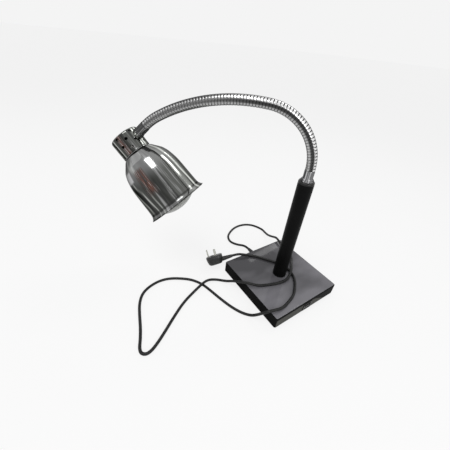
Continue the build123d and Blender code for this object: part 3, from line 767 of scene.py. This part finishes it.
@dataclass
class NeckLine:
    """Centre line of the gooseneck: a straight, three arcs and a straight in one upright plane."""

    heading: float = 225.0  # compass direction of the plane in degrees from +X
    start: float = 336.0  # height of the post's top
    straight: float = 25.0  # length of the first straight, inside the lower ferrule
    # radius and angle in degrees of each arc
    bends: Pairs = ((122.0, 85.0), (400.0, 36.0), (150.0, 14.0))
    ferrule: float = 29.0  # length of the last straight, inside the upper ferrule

    @property
    def level(self) -> Points:
        """Level direction in which the neck leans."""
        angle = math.radians(self.heading)
        return np.array([math.cos(angle), math.sin(angle), 0.0])

    @property
    def side(self) -> Points:
        """Direction across the neck's plane."""
        level = self.level
        return np.array([-level[1], level[0], 0.0])

    @property
    def length(self) -> float:
        """Length of the whole line."""
        return self.straight + sum(r * math.radians(t) for r, t in self.bends) + self.ferrule

    def at(self, distance: Points) -> tuple[Points, Points]:
        """Points and directions at distances along the line.

        In an arc of radius r the tilt grows by s / r over a distance s, and the point moves by
        r (cos before - cos after) outwards and r (sin after - sin before) upwards.

        Args:
            distance: Distances from the post's top.

        Returns:
            The points and the unit directions, one row each.
        """
        left = np.asarray(distance, float).copy()
        reach, tilt = np.zeros_like(left), np.zeros_like(left)
        height = np.full_like(left, self.start)
        arcs = [(r * math.radians(t), r) for r, t in self.bends]
        runs = [(self.straight, 0.0), *arcs, (math.inf, 0.0)]
        for length, radius in runs:
            step = np.clip(left, 0, length)
            if radius:
                after = tilt + step / radius
                reach += radius * (np.cos(tilt) - np.cos(after))
                height += radius * (np.sin(after) - np.sin(tilt))
                tilt = after
            else:
                reach += step * np.sin(tilt)
                height += step * np.cos(tilt)
            left = left - step
        places = reach[..., None] * self.level + height[..., None] * UP
        ways = np.sin(tilt)[..., None] * self.level + np.cos(tilt)[..., None] * UP
        return places, ways


@dataclass
class Gooseneck:
    """The ribbed neck, from the lower ferrule to the upper one."""

    line: NeckLine = field(default_factory=NeckLine)  # the centre line
    pitch: float = 6.5  # length of one rib
    ribs: int = 14  # ribs in one CAD section
    sections: int = 5  # CAD sections
    gap: float = 3.5  # length of the joint between two sections
    rim: float = 1.0  # how far into that joint its hinge lies
    crest: float = 11.0  # radius over the ribs
    root: float = 10.0  # radius in the grooves
    flat: int = 8  # power that flattens the crests
    close: float = 0.6  # power that draws the rings to the grooves
    around: int = 48  # points in a ring
    per_rib: int = 12  # rings in a rib
    bend_zone: float = 30.0  # length on each side of a hinge over which the tube bends

    def sleeve(self, name: str, ends: Pair, whole: Pair, count: int) -> Piece:
        """A stretch of the ribbed tube.

        The radius is root + (crest - root) (1 - |2p - 1|^flat), with p the share of a rib, so
        the ribs have broad, nearly flat crests and narrow grooves. The rings lie at p = 0.5 +
        0.5 sign(q) |q|^close for even steps of q from -1 to 1, closest at the grooves, and each
        is square to the line.

        Args:
            name: Name of the piece.
            ends: Distances along the neck at which it starts and ends.
            whole: First and last distance of the whole ribbed length.
            count: Ribs in the whole length.

        Returns:
            The mesh object.
        """
        even = np.linspace(-1, 1, self.per_rib, endpoint=False)
        inside = 0.5 + 0.5 * np.sign(even) * np.abs(even) ** self.close
        ribs = (np.arange(count)[:, None] + inside).ravel()
        steps = whole[0] + (whole[1] - whole[0]) / count * np.r_[ribs, count]
        chosen = steps[(steps >= ends[0] - 1e-6) & (steps <= ends[1] + 1e-6)]
        share = ((chosen - whole[0]) / (whole[1] - whole[0]) * count + 1e-9) % 1.0
        rise = 1 - np.abs(2 * share - 1) ** self.flat
        radius = self.root + (self.crest - self.root) * rise
        places, ways = self.line.at(chosen)
        side = self.line.side
        lift = np.cross(ways, side)
        angle = np.linspace(0, 2 * np.pi, self.around, endpoint=False)
        spoke = np.cos(angle)[None, :, None] * side + np.sin(angle)[None, :, None] * lift[:, None]
        points = places[:, None] + radius[:, None, None] * spoke
        around = around_axis(1.0, angle, (chosen[:, None] - whole[0]) * MM)
        faces = ring_faces(len(chosen), self.around)
        made = mesh_object(name, points.reshape(-1, 3) * MM, faces, around.reshape(-1, 3))
        return tidy_mesh(made, 60.0)

    def build(self) -> None:
        """Makes the neck in pieces that each span one joint and meet in mid section."""
        length = self.ribs * self.pitch
        starts = [self.line.straight + k * (length + self.gap) for k in range(self.sections)]
        whole = (starts[0], starts[-1] + length)
        count = round((whole[1] - whole[0]) / self.pitch)
        rib = (whole[1] - whole[0]) / count
        cuts = [whole[0]]
        cuts += [whole[0] + rib * round((s + length / 2 - whole[0]) / rib) for s in starts]
        cuts += [whole[1]]
        chrome = Metal.NECK.make()
        for number, ends in enumerate(zip(cuts, cuts[1:])):
            piece = self.sleeve("neck_ribs_" + "abcdef"[number], ends, whole, count)
            if 0 < number < self.sections:
                piece.data.materials.append(chrome)
                joint = starts[number] - self.gap + self.rim
                zone = np.array([joint - self.bend_zone, joint + self.bend_zone])
                start, end = (tuple(place) for place in self.line.at(zone)[0] * MM)
                f"neck_{number + 1}"
                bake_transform(piece)
                LOG.info("%s bends across joint %d", piece.name, number)
            else:
                finish_piece(piece, chrome, "neck_1" if number == 0 else "neck_5")
            if number < self.sections:
                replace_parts(piece, f"neck_section_{number + 1}")


def stand_in(piece: Piece, material: Material, body: str, node: str) -> None:
    """Finishes a piece that is shown in a CAD node's place."""
    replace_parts(finish_piece(piece, material, body), node)


@dataclass
class Post:
    """The black tube with its cap, and the turning foot of the neck."""

    radius: float = 19.0  # outer radius of the tube and the cap
    wall: float = 2.0  # thickness of the tube's wall
    foot: float = 36.0  # height of the tube's foot, on the base
    tube_top: float = 330.0  # height of the tube's top, under the cap
    top: float = 336.0  # height of the cap's top
    rounding: float = 4.0  # radius of the cap's rounded edge
    bore: float = 7.05  # radius of the hole through the cap, the flange and the ferrule
    flange: float = 15.0  # radius of the flange
    flange_foot: float = 336.05  # height of its underside, just clear of the cap that it turns on
    flange_top: float = 339.0  # height of its top
    flange_edge: float = 0.8  # radius of its rounded edge
    # radius of the lower ferrule at heights over the flange's top
    ferrule: Pairs = (
        (13.5, 0.0), (13.5, 1.6), (13.2, 2.2), (12.0, 3.4), (11.5, 4.4), (11.5, 20.8), (11.0, 22.0),
    )

    def build(self) -> None:
        """Makes the tube, its cap, the flange and the lower ferrule."""
        satin = Paint("post_satin_black", grey(0.003), grey(0.006), 0.36, 0.02, 0.05).material()
        plastic = Moulded("post_cap_gloss_black", grey(0.004), grey(0.01), 0.16, 0.005, 0.3)
        gloss, chrome = plastic.material(), Metal.SLEEVE.make()
        side = [(self.radius, self.foot), (self.radius, self.tube_top)]
        dome = self.rounded(self.radius, self.top, self.rounding)
        edge = self.rounded(self.flange, self.flange_top, self.flange_edge)
        cap = np.vstack([side[1:], dome])
        ring = np.vstack([[(self.flange, self.flange_foot)], edge])
        sleeve = np.array(self.ferrule) + (0, self.flange_top)
        for node, outline, bore, material, body, slot in (
            ("post_tube", side, self.radius - self.wall, satin, "base", "post"),
            ("post_cap", cap, self.bore, gloss, "base", "gloss_black"),
            ("neck_flange", ring, self.bore, chrome, "neck_1", "chrome"),
            ("lower_ferrule", sleeve, self.bore, chrome, "neck_1", "chrome"),
        ):
            piece = turned(node + "_skin", bored(outline, bore), UPRIGHT)
            stand_in(piece, material, body, node)

    @staticmethod
    def rounded(radius: float, top: float, edge: float) -> Points:
        """The quarter round between a side and a top."""
        return corner_arc((radius - edge, top - edge), edge, 0, 90)


@dataclass
class Head:
    """Housing, shade and reflector bulb, in the head's own frame.

    Local Z runs from the housing's closed end to the rim, and local X away from the neck.
    """

    line: NeckLine = field(default_factory=NeckLine)  # the neck's centre line
    dip: float = 45.0  # angle below level to which the head points before its twist, in degrees
    twist: float = -7.5  # turn of the head about the stem, in degrees
    stem_height: float = 20.0  # height of the stem's axis
    stem_hole: float = 5.1  # radius of the hole for the stem
    housing_radius: float = 36.0
    housing_wall: float = 1.2
    housing_length: float = 48.0  # height of the housing's open end
    rounding: float = 5.0  # radius between its wall and its closed end
    # radii of the rings of vertices on the closed end
    end_rings: tuple[float, ...] = (0.001, 8.0, 20.0, 29.0, 31.0)
    boss_radius: float = 12.5  # radius of the boss round the stem
    boss_face: float = 39.0  # distance of the boss's face from the head's axis
    boss_edge: float = 0.8  # radius of its rounded edge
    boss_root: Pair = (2.5, 4.5)  # how far inside the wall its hole and its side start
    vent_radius: float = 3.75
    vent_closed: float = 0.02  # the radius where a vent would meet the boss
    # height of each row of vents and the angle of its first vent, in degrees
    vent_rows: Pairs = ((7.0, 25.0), (17.0, 55.0), (27.0, 25.0), (38.0, 55.0))
    vents_per_row: int = 6
    # heights of the limits between the rows
    row_edges: tuple[float, ...] = (1.5, 12.0, 22.0, 32.5, 44.0)
    cell_steps: tuple[int, int] = (16, 6)  # steps across the cell of a vent and up it
    # places of the rings of vertices between a vent and the edge of its cell, as shares
    cell_rings: tuple[float, ...] = (0.0, 0.06, 0.3, 0.65, 1.0)
    # radius of the upper ferrule at distances over its foot, where the neck enters
    ferrule: Pairs = ((9.0, 0.0), (11.0, 0.0), (11.5, 1.2))
    # its radius at distances under the boss's face
    ferrule_flare: Pairs = (
        (11.5, 6.5), (11.7, 5.0), (12.3, 2.6), (12.5, 1.6), (12.5, 0.0), (5.1, 0.0),
    )
    # radius and height of points on the shade, down to the lip
    shade_points: Pairs = (
        (34.75, 49.5), (40.0, 54.0), (46.0, 61.0), (52.3, 68.5), (57.5, 76.0), (63.5, 91.0),
        (68.5, 116.0), (70.5, 150.0), (71.5, 174.0), (73.0, 190.0), (76.4, 197.5), (80.1, 201.3),
    )
    collar: float = 34.75  # radius of the shade's collar
    collar_top: float = 44.0  # height of its top
    collar_sheet: float = 1.2  # thickness of its top
    collar_hole: float = 19.6  # radius of the hole in it
    sheet: float = 1.0
    rim: float = 80.5  # radius of the lip
    lip_edge: float = 0.7  # radius of the lip's rounded edge
    length: float = 202.0  # height of the lip
    # radius and height of points on the bulb, from its neck to its face
    bulb_points: Pairs = (
        (13.2, 66.0), (15.0, 78.0), (25.5, 97.0), (40.0, 118.0), (50.8, 140.0), (58.5, 162.0),
        (61.6, 171.0), (62.4, 180.0), (61.0, 189.0), (57.5, 195.0),
    )
    bulb_apex: float = 217.0  # height of the face's middle

    @property
    def axes(self) -> Axes:
        """The head's frame, from the neck's end and the head's twist about the stem."""
        end, way = self.line.at(np.array([self.line.length]))
        stem = unit(way[0])
        dip = math.radians(self.dip)
        plumb = -math.cos(dip) * self.line.level - math.sin(dip) * UP
        turn = math.radians(self.twist)
        along = unit(math.cos(turn) * plumb + math.sin(turn) * np.cross(plumb, stem))
        middle = end[0] + self.housing_radius * stem
        return Axes(middle - self.stem_height * along, stem, along)

    @property
    def stem_axes(self) -> Axes:
        """The stem's frame: Z along the stem into the housing, 0 on the head's axis."""
        head = self.axes
        return Axes(head.origin + self.stem_height * head.z, head.y, head.x)

    def wall_radius(self, height: Points) -> Points:
        """Outer radius of the housing at a height: a quarter round at the closed end."""
        under = np.clip(self.rounding - height, 0, self.rounding)
        return self.housing_radius - self.rounding + np.sqrt(self.rounding**2 - under**2)

    def wall_points(self, angle: Points, height: Points) -> Points:
        """Points of the housing's wall at angles in radians and heights."""
        return around_axis(self.wall_radius(height), angle, height)

    def vent_cell(
        self, centre: float, level: float, low: float, high: float, holed: bool
    ) -> tuple[Points, Points]:
        """One cell of the wall with a round vent in it.

        The cell is a rectangle in angle and height. Its points run from the vent's circle to the
        rectangle's edge: point = circle + share (edge - circle), both at the same bearing.

        Args:
            centre: Angle of the cell's middle in radians.
            level: Height of the vent's centre.
            low: Lower edge of the cell.
            high: Upper edge of the cell.
            holed: Whether the cell has its vent; without one the circle shrinks to a point.

        Returns:
            Local points and quads.
        """
        half = math.pi / self.vents_per_row
        across, up = self.cell_steps
        wide = np.linspace(-half, half, across + 1)
        tall = np.linspace(low, high, up + 1)
        edge_angle = np.r_[wide[:-1], np.full(up, half), wide[:0:-1], np.full(up, -half)]
        edge_height = np.r_[np.full(across, low), tall[:-1], np.full(across, high), tall[:0:-1]]
        bearing = np.arctan2(edge_height - level, edge_angle * self.housing_radius)
        hole = self.vent_radius if holed else self.vent_closed
        ring_angle = hole * np.cos(bearing) / self.housing_radius
        ring_height = level + hole * np.sin(bearing)
        share = np.array(self.cell_rings)[:, None]
        angle = centre + ring_angle + share * (edge_angle - ring_angle)
        height = ring_height + share * (edge_height - ring_height)
        quads = ring_faces(len(share), len(bearing))
        return self.wall_points(angle, height).reshape(-1, 3), quads

    def housing_mesh(self) -> Piece:
        """The vented cup: an end disc, four rows of cells and a plain skirt, given its wall."""
        count = self.vents_per_row * self.cell_steps[0]
        around = np.radians(np.arange(count) * 360.0 / count + self.vent_rows[0][1])
        flat = around_axis(np.array(self.end_rings)[:, None], around, np.zeros((1, 1)))
        bend = np.linspace(0.0, self.row_edges[0], 4)[1:, None]
        disc = np.concatenate([flat, self.wall_points(around[None], bend)])
        parts = [(disc.reshape(-1, 3), ring_faces(len(disc), count))]
        skirt = np.linspace(self.row_edges[-1], self.housing_length, 3)[:, None]
        wall = self.wall_points(around[None], skirt)
        parts.append((wall.reshape(-1, 3), ring_faces(len(wall), count)))
        for (level, first), low, high in zip(self.vent_rows, self.row_edges, self.row_edges[1:]):
            for number in range(self.vents_per_row):
                turn = (first + 180.0 + number * 360.0 / self.vents_per_row) % 360.0
                away = math.radians(abs(turn - 180.0)) * self.housing_radius
                clear = math.hypot(away, level - self.stem_height)
                holed = clear > self.boss_radius + self.vent_radius
                parts.append(self.vent_cell(math.radians(turn), level, low, high, holed))
        offsets = np.cumsum([0] + [len(points) for points, _ in parts[:-1]])
        points = np.vstack([p for p, _ in parts])
        faces = np.vstack([f + o for (_, f), o in zip(parts, offsets)])
        reach = np.maximum(np.hypot(points[:, 0], points[:, 1]), 1e-6)
        around = np.c_[points[:, 0] / reach, points[:, 1] / reach, points[:, 2] * MM]
        made = mesh_object("housing_skin", self.axes.place(points) * MM, faces, around)
        tidy_mesh(made)
        wall_maker = made.modifiers.new("sheet", "SOLIDIFY")
        wall_maker.thickness = self.housing_wall * MM
        wall_maker.offset = -1.0
        return made

    def shade_profile(self) -> Points:
        """Collar, bell and flared lip outside, round the lip's edge, and back up inside."""
        bell = smooth_profile(self.shade_points, 6)
        slope = np.gradient(bell, axis=0)
        slope /= np.linalg.norm(slope, axis=1)[:, None]
        inner = bell - self.sheet * np.c_[slope[:, 1], -slope[:, 0]]
        edge = self.lip_edge
        lip = corner_arc((self.rim - edge, self.length - edge), edge, 20, 150)
        start, floor = (self.collar, self.collar_top), self.collar_top + self.collar_sheet
        flange = [(self.collar - self.sheet, floor), (self.collar_hole, floor)]
        flange += [(self.collar_hole, self.collar_top), start]
        return np.vstack([[start], bell, lip, inner[::-1], flange])

    def bulb_profile(self) -> Points:
        """The bulb's glass: neck, swelling reflector, rounded shoulder and domed face."""
        side = smooth_profile(self.bulb_points, 8)
        edge_radius, edge_height = self.bulb_points[-1]
        drop = self.bulb_apex - edge_height
        face_radius = (edge_radius**2 + drop**2) / (2 * drop)
        reach = np.linspace(edge_radius, 0.01, 24)[1:]
        height = self.bulb_apex - face_radius + np.sqrt(face_radius**2 - reach**2)
        return np.vstack([side, np.c_[reach, height]])

    def boss_profile(self) -> Points:
        """The boss that the ferrule stands on, from its hole round its face."""
        hole_root, side_root = (root - self.housing_radius for root in self.boss_root)
        corner = (self.boss_radius - self.boss_edge, self.boss_edge - self.boss_face)
        hole = [(self.stem_hole, hole_root), (self.stem_hole, -self.boss_face)]
        edge = corner_arc(corner, self.boss_edge, -90, 0)
        return np.vstack([hole, edge, [(self.boss_radius, side_root)]])

    def build(self, frame: dict) -> None:
        """Makes the head's pieces and dresses those that keep their own mesh."""
        axes, stem = self.axes, self.stem_axes
        chrome, vented = Metal.CHROME.make(), Metal.HOUSING.make()
        stand_in(self.housing_mesh(), vented, "head", "socket_housing")
        finish_piece(turned("stem_boss", self.boss_profile(), stem, 64), vented, "head")
        foot = -self.line.ferrule - self.housing_radius
        sleeve = [(radius, foot + over) for radius, over in self.ferrule]
        sleeve += [(radius, -self.boss_face - under) for radius, under in self.ferrule_flare]
        piece = turned("upper_ferrule_skin", np.array(sleeve), stem)
        stand_in(piece, Metal.UPPER_SLEEVE.make(), "neck_5", "upper_ferrule")
        piece = turned("shade_skin", self.shade_profile(), axes, 160)
        stand_in(piece, chrome, "head", "shade")
        piece = turned("bulb_skin", self.bulb_profile(), axes)
        stand_in(piece, FrostedGlass().material(), "head", "bulb_glass")
        ceramic = Moulded("glazed_ceramic", (0.82, 0.81, 0.77), (0.66, 0.64, 0.58), 0.15, 0.01)
        dress(frame, ceramic.material(), "lamp_holder", "shade_ring")
        dress(frame, Metal.NICKEL.make(), "holder_shell", "bulb_cap", "bulb_contact")
        dress(frame, Metal.BRASS.make(), "holder_contact")
        dress(frame, Metal.ZINC.make(), "holder_bracket", "holder_screws", "neck_stem", "stem_nut")


@dataclass
class Base:
    """The weighted base with its switch and what is inside it."""

    top: float = 36.0  # height of the base's top

    def build(self, frame: dict) -> None:
        """Dresses the nodes, which keep their own meshes."""
        black, worn, height = grey(0.007), grey(0.013), self.top * MM
        enamel = SheenedEnamel("base_gloss_enamel", black, worn, 0.2, 0.02, 0.003, 0.45, height)
        dress(frame, enamel.material(), "base_shell")
        primer = Paint("cover_grey_primer", grey(0.16), grey(0.26), 0.5, 0.02)
        dress(frame, primer.material(), "base_plate", "base_ballast")
        rubber = Moulded("pad_black_rubber", grey(0.02), grey(0.06), 0.7, 0.08)
        dress(frame, rubber.material(), "base_pad")
        zinc = Metal.ZINC.make()
        dress(frame, zinc, "base_plate_screws", "base_spacers", "neck_spindle", "spindle_nut")
        dress(frame, zinc, "post_foot_plug", "post_nipple", "post_washer", "post_nut")
        switch = Moulded("switch_gloss_black", grey(0.009), grey(0.02), 0.22, 0.005, 0.16)
        dress(frame, switch.material(), "switch_frame", "switch_rocker")
        dress(frame, Metal.BRASS.make(), "switch_blades", "terminal_screws")
        nylon = Moulded("terminal_white_nylon", grey(0.75), grey(0.6), 0.35)
        dress(frame, nylon.material(), "terminal_block")


@dataclass
class MainsPlug:
    """The moulded body of the plug: a base behind the pins and a rounded cover over it.

    Local X runs from the plug to its cord and local Z out of the pins' face.
    """

    end: Triple  # last point of the cord's route, at the tip of the relief
    before: Triple  # last point but one
    pins: Triple = (-0.663, 0.042, 0.748)  # rough direction of the pins, squared up to the cord
    relief: float = 28.0  # length of the relief outside the body
    size: Triple = (50.0, 48.0, 28.0)  # length, width and depth of the body
    cord_depth: float = 17.0  # depth of the cord behind the pins' face
    # how much shorter and narrower the back is, on each side
    taper: Pair = (3.5, 6.5)
    straight: float = 8.0  # depth over which the sides stay straight
    seam: float = 9.6  # depth of the parting line between base and cover
    # depth from that line and inset of each row of the parting line
    groove: Pairs = ((-0.5, 0.0), (-0.4, 0.9), (0.4, 0.9), (0.5, 0.3))
    cover_rows: Pair = (15.0, 18.0)  # depths of two rows on the cover's sides
    front_round: float = 2.5  # radius of the edge round the pins' face
    back_round: float = 7.0  # radius of the edge round the back
    step: float = 0.3  # how far the cover is set in from the base
    square: float = 3.4  # power of the outline; 2 would make it an ellipse
    around: int = 72  # points in a row

    @property
    def axes(self) -> Axes:
        """The plug's frame, with its origin in the middle of the pins' face."""
        way = unit(np.subtract(self.before, self.end))
        out = unit(np.asarray(self.pins) - np.dot(self.pins, way) * way)
        side = np.asarray(self.end) - (self.relief + self.size[0] / 2) * way
        return Axes(side + self.cord_depth * out, way, out)

    def build(self) -> Piece:
        """The body's shell.

        Each ring is the curve |x / a|^square + |y / b|^square = 1. Over the depth the half sizes
        a and b shrink by the taper times a smooth step, then by the inset of the row (the
        rounded edges and the parting line), and the rows of the two end faces scale down to a
        point.

        Returns:
            The mesh object.
        """
        long, wide, deep = self.size
        first, last, step = self.front_round, self.back_round, self.step
        ends = (0.01, 0.4, 0.8)
        rows = [(0.0, first, scale) for scale in ends]
        rows += [
            (first * (1 - math.sin(t)), first * (1 - math.cos(t)), 1.0)
            for t in np.radians(np.linspace(90, 0, 6))
        ]
        rows += [(self.seam + over, inset, 1.0) for over, inset in self.groove]
        rows += [(low, step, 1.0) for low in self.cover_rows]
        rows += [
            (deep - last * (1 - math.sin(t)), step + last * (1 - math.cos(t)), 1.0)
            for t in np.radians(np.linspace(0, 90, 9))
        ]
        rows += [(deep, last + step, scale) for scale in ends[::-1]]
        rows = np.array(rows)
        depth, inset, scale = rows[:, 0:1], rows[:, 1:2], rows[:, 2:3]
        share = np.clip((depth - self.straight) / (deep - self.straight), 0, 1)
        shrink = share**2 * (3 - 2 * share)
        half_long = (long / 2 - self.taper[0] * shrink - inset) * scale
        half_wide = (wide / 2 - self.taper[1] * shrink - inset) * scale
        angle = np.linspace(0, 2 * np.pi, self.around, endpoint=False)
        cosine, sine = (
            np.sign(wave) * np.abs(wave) ** (2 / self.square)
            for wave in (np.cos(angle), np.sin(angle))
        )
        local = np.stack([half_long * cosine, half_wide * sine, -depth + 0 * angle], -1)
        vertices = self.axes.place(local).reshape(-1, 3) * MM
        faces = ring_faces(len(rows), self.around)
        return tidy_mesh(mesh_object("plug_body_skin", vertices, faces), 50.0)


@dataclass
class MainsCord:
    """The flexible cord with its gland relief and its three-pin plug."""

    diameter: float = 7.5  # outer diameter of the sheath
    length: float = 2.087  # real length along the cord, in metres
    # points of the route in millimetres, from the gland to the plug
    route: tuple[Triple, ...] = (
        (-143, 0, 17), (-163, 0, 17), (-190, -12, 5), (-216, -25, 3.8), (-243, -17, 3.8),
        (-262, 5, 3.8), (-279, 40, 3.8), (-279, 80, 3.8), (-261, 110, 3.8), (-222, 128, 3.8),
        (-188, 117, 10), (-164, 109, 20), (-140, 103, 34), (-121, 99, 45), (-103, 93, 46),
        (-82, 92, 41), (-55, 92, 39.8), (-32, 82, 39.8), (-12, 62, 41), (1, 46, 49.5),
        (22, 24, 49.5), (35, -3, 43), (31, -32, 39.8), (21, -62, 39.8), (10, -90, 41),
        (-5, -108, 45), (-24, -124.5, 42), (-49, -131, 24), (-69, -141, 9), (-91, -158, 4),
        (-97, -188, 13.5), (-86, -220, 13.5), (-80, -247, 4), (-66, -278, 3.8), (-41, -315, 3.8),
        (-14, -351, 3.8), (5, -378, 3.8), (15, -396, 3.8), (17, -409, 3.8), (9, -418, 3.8),
        (-4, -417, 3.8), (-22, -409, 3.8), (-50, -399, 3.8), (-87, -389, 3.8), (-121, -378, 3.8),
        (-147, -361, 3.8), (-161, -336, 3.8), (-167, -305, 3.8), (-161, -274, 3.8),
        (-141, -241, 3.8), (-124, -221, 3.8), (-99, -205, 3.8), (-73, -197, 3.8), (-31, -187, 3.8),
        (7, -176, 3.8), (36, -163, 4), (58, -149, 8), (72, -140, 22), (87, -127, 43),
        (95, -107, 46.5), (98, -84, 42), (94, -62, 39.8), (83, -25, 39.8), (62, 2, 39.8),
        (38, 24, 39.8), (8, 33, 39.8), (-20, 29, 39.8), (-42, 14, 39.8), (-63, -2, 39.8),
        (-84, -17, 39.8), (-98, -34, 40), (-106, -52, 45), (-115.9, -70.6, 47.6),
        (-122.2, -86.8, 42.3),
    )

    def build(self, frame: dict) -> None:
        """Makes the cord as one smooth curve and dresses the gland and the plug."""
        curve = bpy.data.curves.new("mains_cord", "CURVE")
        curve.dimensions = "3D"
        spline = curve.splines.new("NURBS")
        spline.points.add(len(self.route) - 1)
        points = np.c_[np.array(self.route, float) * MM, np.ones(len(self.route))]
        spline.points.foreach_set("co", points.ravel())
        spline.order_u = 3
        spline.use_endpoint_u = True
        spline.resolution_u = 8
        curve.bevel_depth = self.diameter * MM / 2
        curve.bevel_resolution = 5
        curve.use_fill_caps = True
        cord = in_scene("mains_cord", curve)
        sheath = Moulded("cord_black_rubber", grey(0.006), grey(0.018), 0.36, 0.02, 0.22)
        stand_in(cord, sheath.material(), "base", "power_cord")
        relief = Moulded("relief_black_rubber", grey(0.01), grey(0.03), 0.4, 0.03, 0.3)
        under = ("cord_gland", "gland_nut", "plug_relief", "cord_tail", "post_cable")
        dress(frame, relief.material(), *under)
        shell = Moulded("plug_black_shell", grey(0.012), grey(0.035), 0.3, 0.03, 0.4).material()
        body = MainsPlug(self.route[-1], self.route[-2]).build()
        stand_in(body, shell, "base", "plug_body")
        dress(frame, shell, "plug_fuse_carrier")
        dress(frame, Metal.PIN.make(), "plug_earth_pin", "plug_power_pins")


@dataclass
class Studio:
    """Camera at the photograph's viewpoint, a pale floor and soft lamps."""

    eye: Triple = (325.46, -463.34, 578.29)  # where the camera is
    ahead: Triple = (-0.64675, 0.48788, -0.58625)  # direction in which it looks
    right: Triple = (0.54928, 0.83122, 0.08577)  # direction to its right
    lens: float = 20.44  # focal length in millimetres
    sensor: float = 36.0  # width of the sensor in millimetres
    target: Triple = (-0.2, -0.2, 0.3)  # point that the lamps face, in metres
    floor_reach: float = 40.0  # how far the floor reaches each way, in metres
    floor_gap: float = 0.0002  # how far the floor lies under zero, in metres
    surround: float = 0.45  # strength of the surround where it only lights
    far_tone: float = 0.905  # strength at which it shows in the far floor's tone

    def camera(self) -> None:
        """Sets the camera."""
        data = bpy.data.cameras.new("photo_camera")
        data.sensor_width = self.sensor
        data.lens = self.lens
        data.clip_start = 0.01
        place, back = np.asarray(self.eye) * MM, -np.asarray(self.ahead)
        bpy.context.scene.camera = self.aim("photo_camera", data, place, back, self.right)

    @staticmethod
    def aim(name: str, data: bpy.types.ID, place: Points, back: Points, side: Triple) -> Piece:
        """Puts up a camera or a lamp, which looks along its own -Z.

        Args:
            name: Name of the object.
            data: The camera or the lamp.
            place: Where it is, in metres.
            back: Direction away from what it looks at.
            side: Direction of its X, squared up to back.

        Returns:
            The object.
        """
        back = unit(back)
        side = unit(np.asarray(side, float) - np.dot(side, back) * back)
        matrix = np.eye(4)
        matrix[:3] = np.stack([side, np.cross(back, side), back, place], axis=1)
        made = in_scene(name, data)
        made.matrix_world = Matrix(matrix.tolist())
        return made

    def pale(self, name: str, share: float) -> Material:
        """A surface that shows and mirrors as white by a share and still takes a soft shadow."""
        graph = Graph.of_material(name)
        graph.put(base_color=grey(0.8), roughness=0.8)
        seen = graph.ray("Camera").calc("MAXIMUM", graph.mirrored())
        plain = Value(graph, graph.shader.outputs[0])
        glow = graph.source("ShaderNodeEmission", 0, color=(1.0,) * 4)
        mixed = graph.filled("ShaderNodeMixShader", range(3), (seen * share, plain, glow))
        graph.give(graph.tree.nodes["Material Output"].inputs["Surface"], mixed)
        return graph.owner

    def floor(self) -> None:
        """Lays the floor, just under what stands on it."""
        reach = self.floor_reach
        corners = reach * np.array([(-1, -1, 0), (1, -1, 0), (1, 1, 0), (-1, 1, 0)], float)
        floor = mesh_object("studio_floor", corners, np.array([[0, 1, 2, 3]]))
        floor.location.z = -self.floor_gap
        floor.data.materials.append(self.pale("studio_floor_white", 0.8))

    def lamp(self, name: str, place: Triple, level: float, sides: Pair, long: Triple) -> None:
        """Hangs one soft lamp that faces the target.

        Args:
            name: Name of the lamp.
            place: Where it hangs, in metres.
            level: Brightness of its face; its power is level times pi times its area.
            sides: Lengths of its long and short side in metres.
            long: Direction of its long side, squared up to face the target.
        """
        data = bpy.data.lights.new(name, "AREA")
        data.shape = "RECTANGLE"
        data.size, data.size_y = sides
        data.energy = level * math.pi * sides[0] * sides[1]
        self.aim(name, data, np.asarray(place), np.subtract(place, self.target), long)

    def world(self) -> None:
        """Sets a surround that shows as the far floor does, mirrors as white and lights softly."""
        world = bpy.data.worlds.new("studio_world")
        bpy.context.scene.world = world
        graph = Graph(world, "Background")
        shown = graph.ray("Camera") * self.far_tone
        level = graph.mirrored().spread(self.surround, 1.0).calc("MAXIMUM", shown)
        graph.put(color=grey(1.0), strength=level)

    def build(self) -> None:
        """Sets up the whole studio."""
        self.camera()
        self.floor()
        self.world()
        self.lamp("lamp_window", (0.13, -0.87, 2.1), 6.0, (1.05, 0.75), (1.0, 0.1, 0.0))
        self.lamp("lamp_left", (-1.5, -1.4, 1.3), 0.6, (1.2, 1.2), (1.0, -1.0, 0.0))
        self.lamp("lamp_fill", (1.7, -0.2, 1.2), 3.5, (1.0, 1.0), (0.0, 1.0, 0.0))
        self.lamp("lamp_back", (-0.27, 0.92, 1.71), 5.5, (0.8, 0.3), (0.31, 0.26, -0.18))
        self.lamp("lamp_strip", (-1.0, 1.19, 1.19), 3.5, (0.6, 0.06), (-0.12, -0.2, 0.21))
        bpy.context.scene.view_settings.view_transform = "Standard"


def main() -> None:
    """Builds every sub-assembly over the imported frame."""
    logging.basicConfig(level=logging.INFO, format="%(name)s: %(message)s")
    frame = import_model()
    Studio().build()
    MainsCord().build(frame)
    Base().build(frame)
    Post().build()
    Gooseneck().build()
    Head().build(frame)


if __name__ == "__main__":
    main()
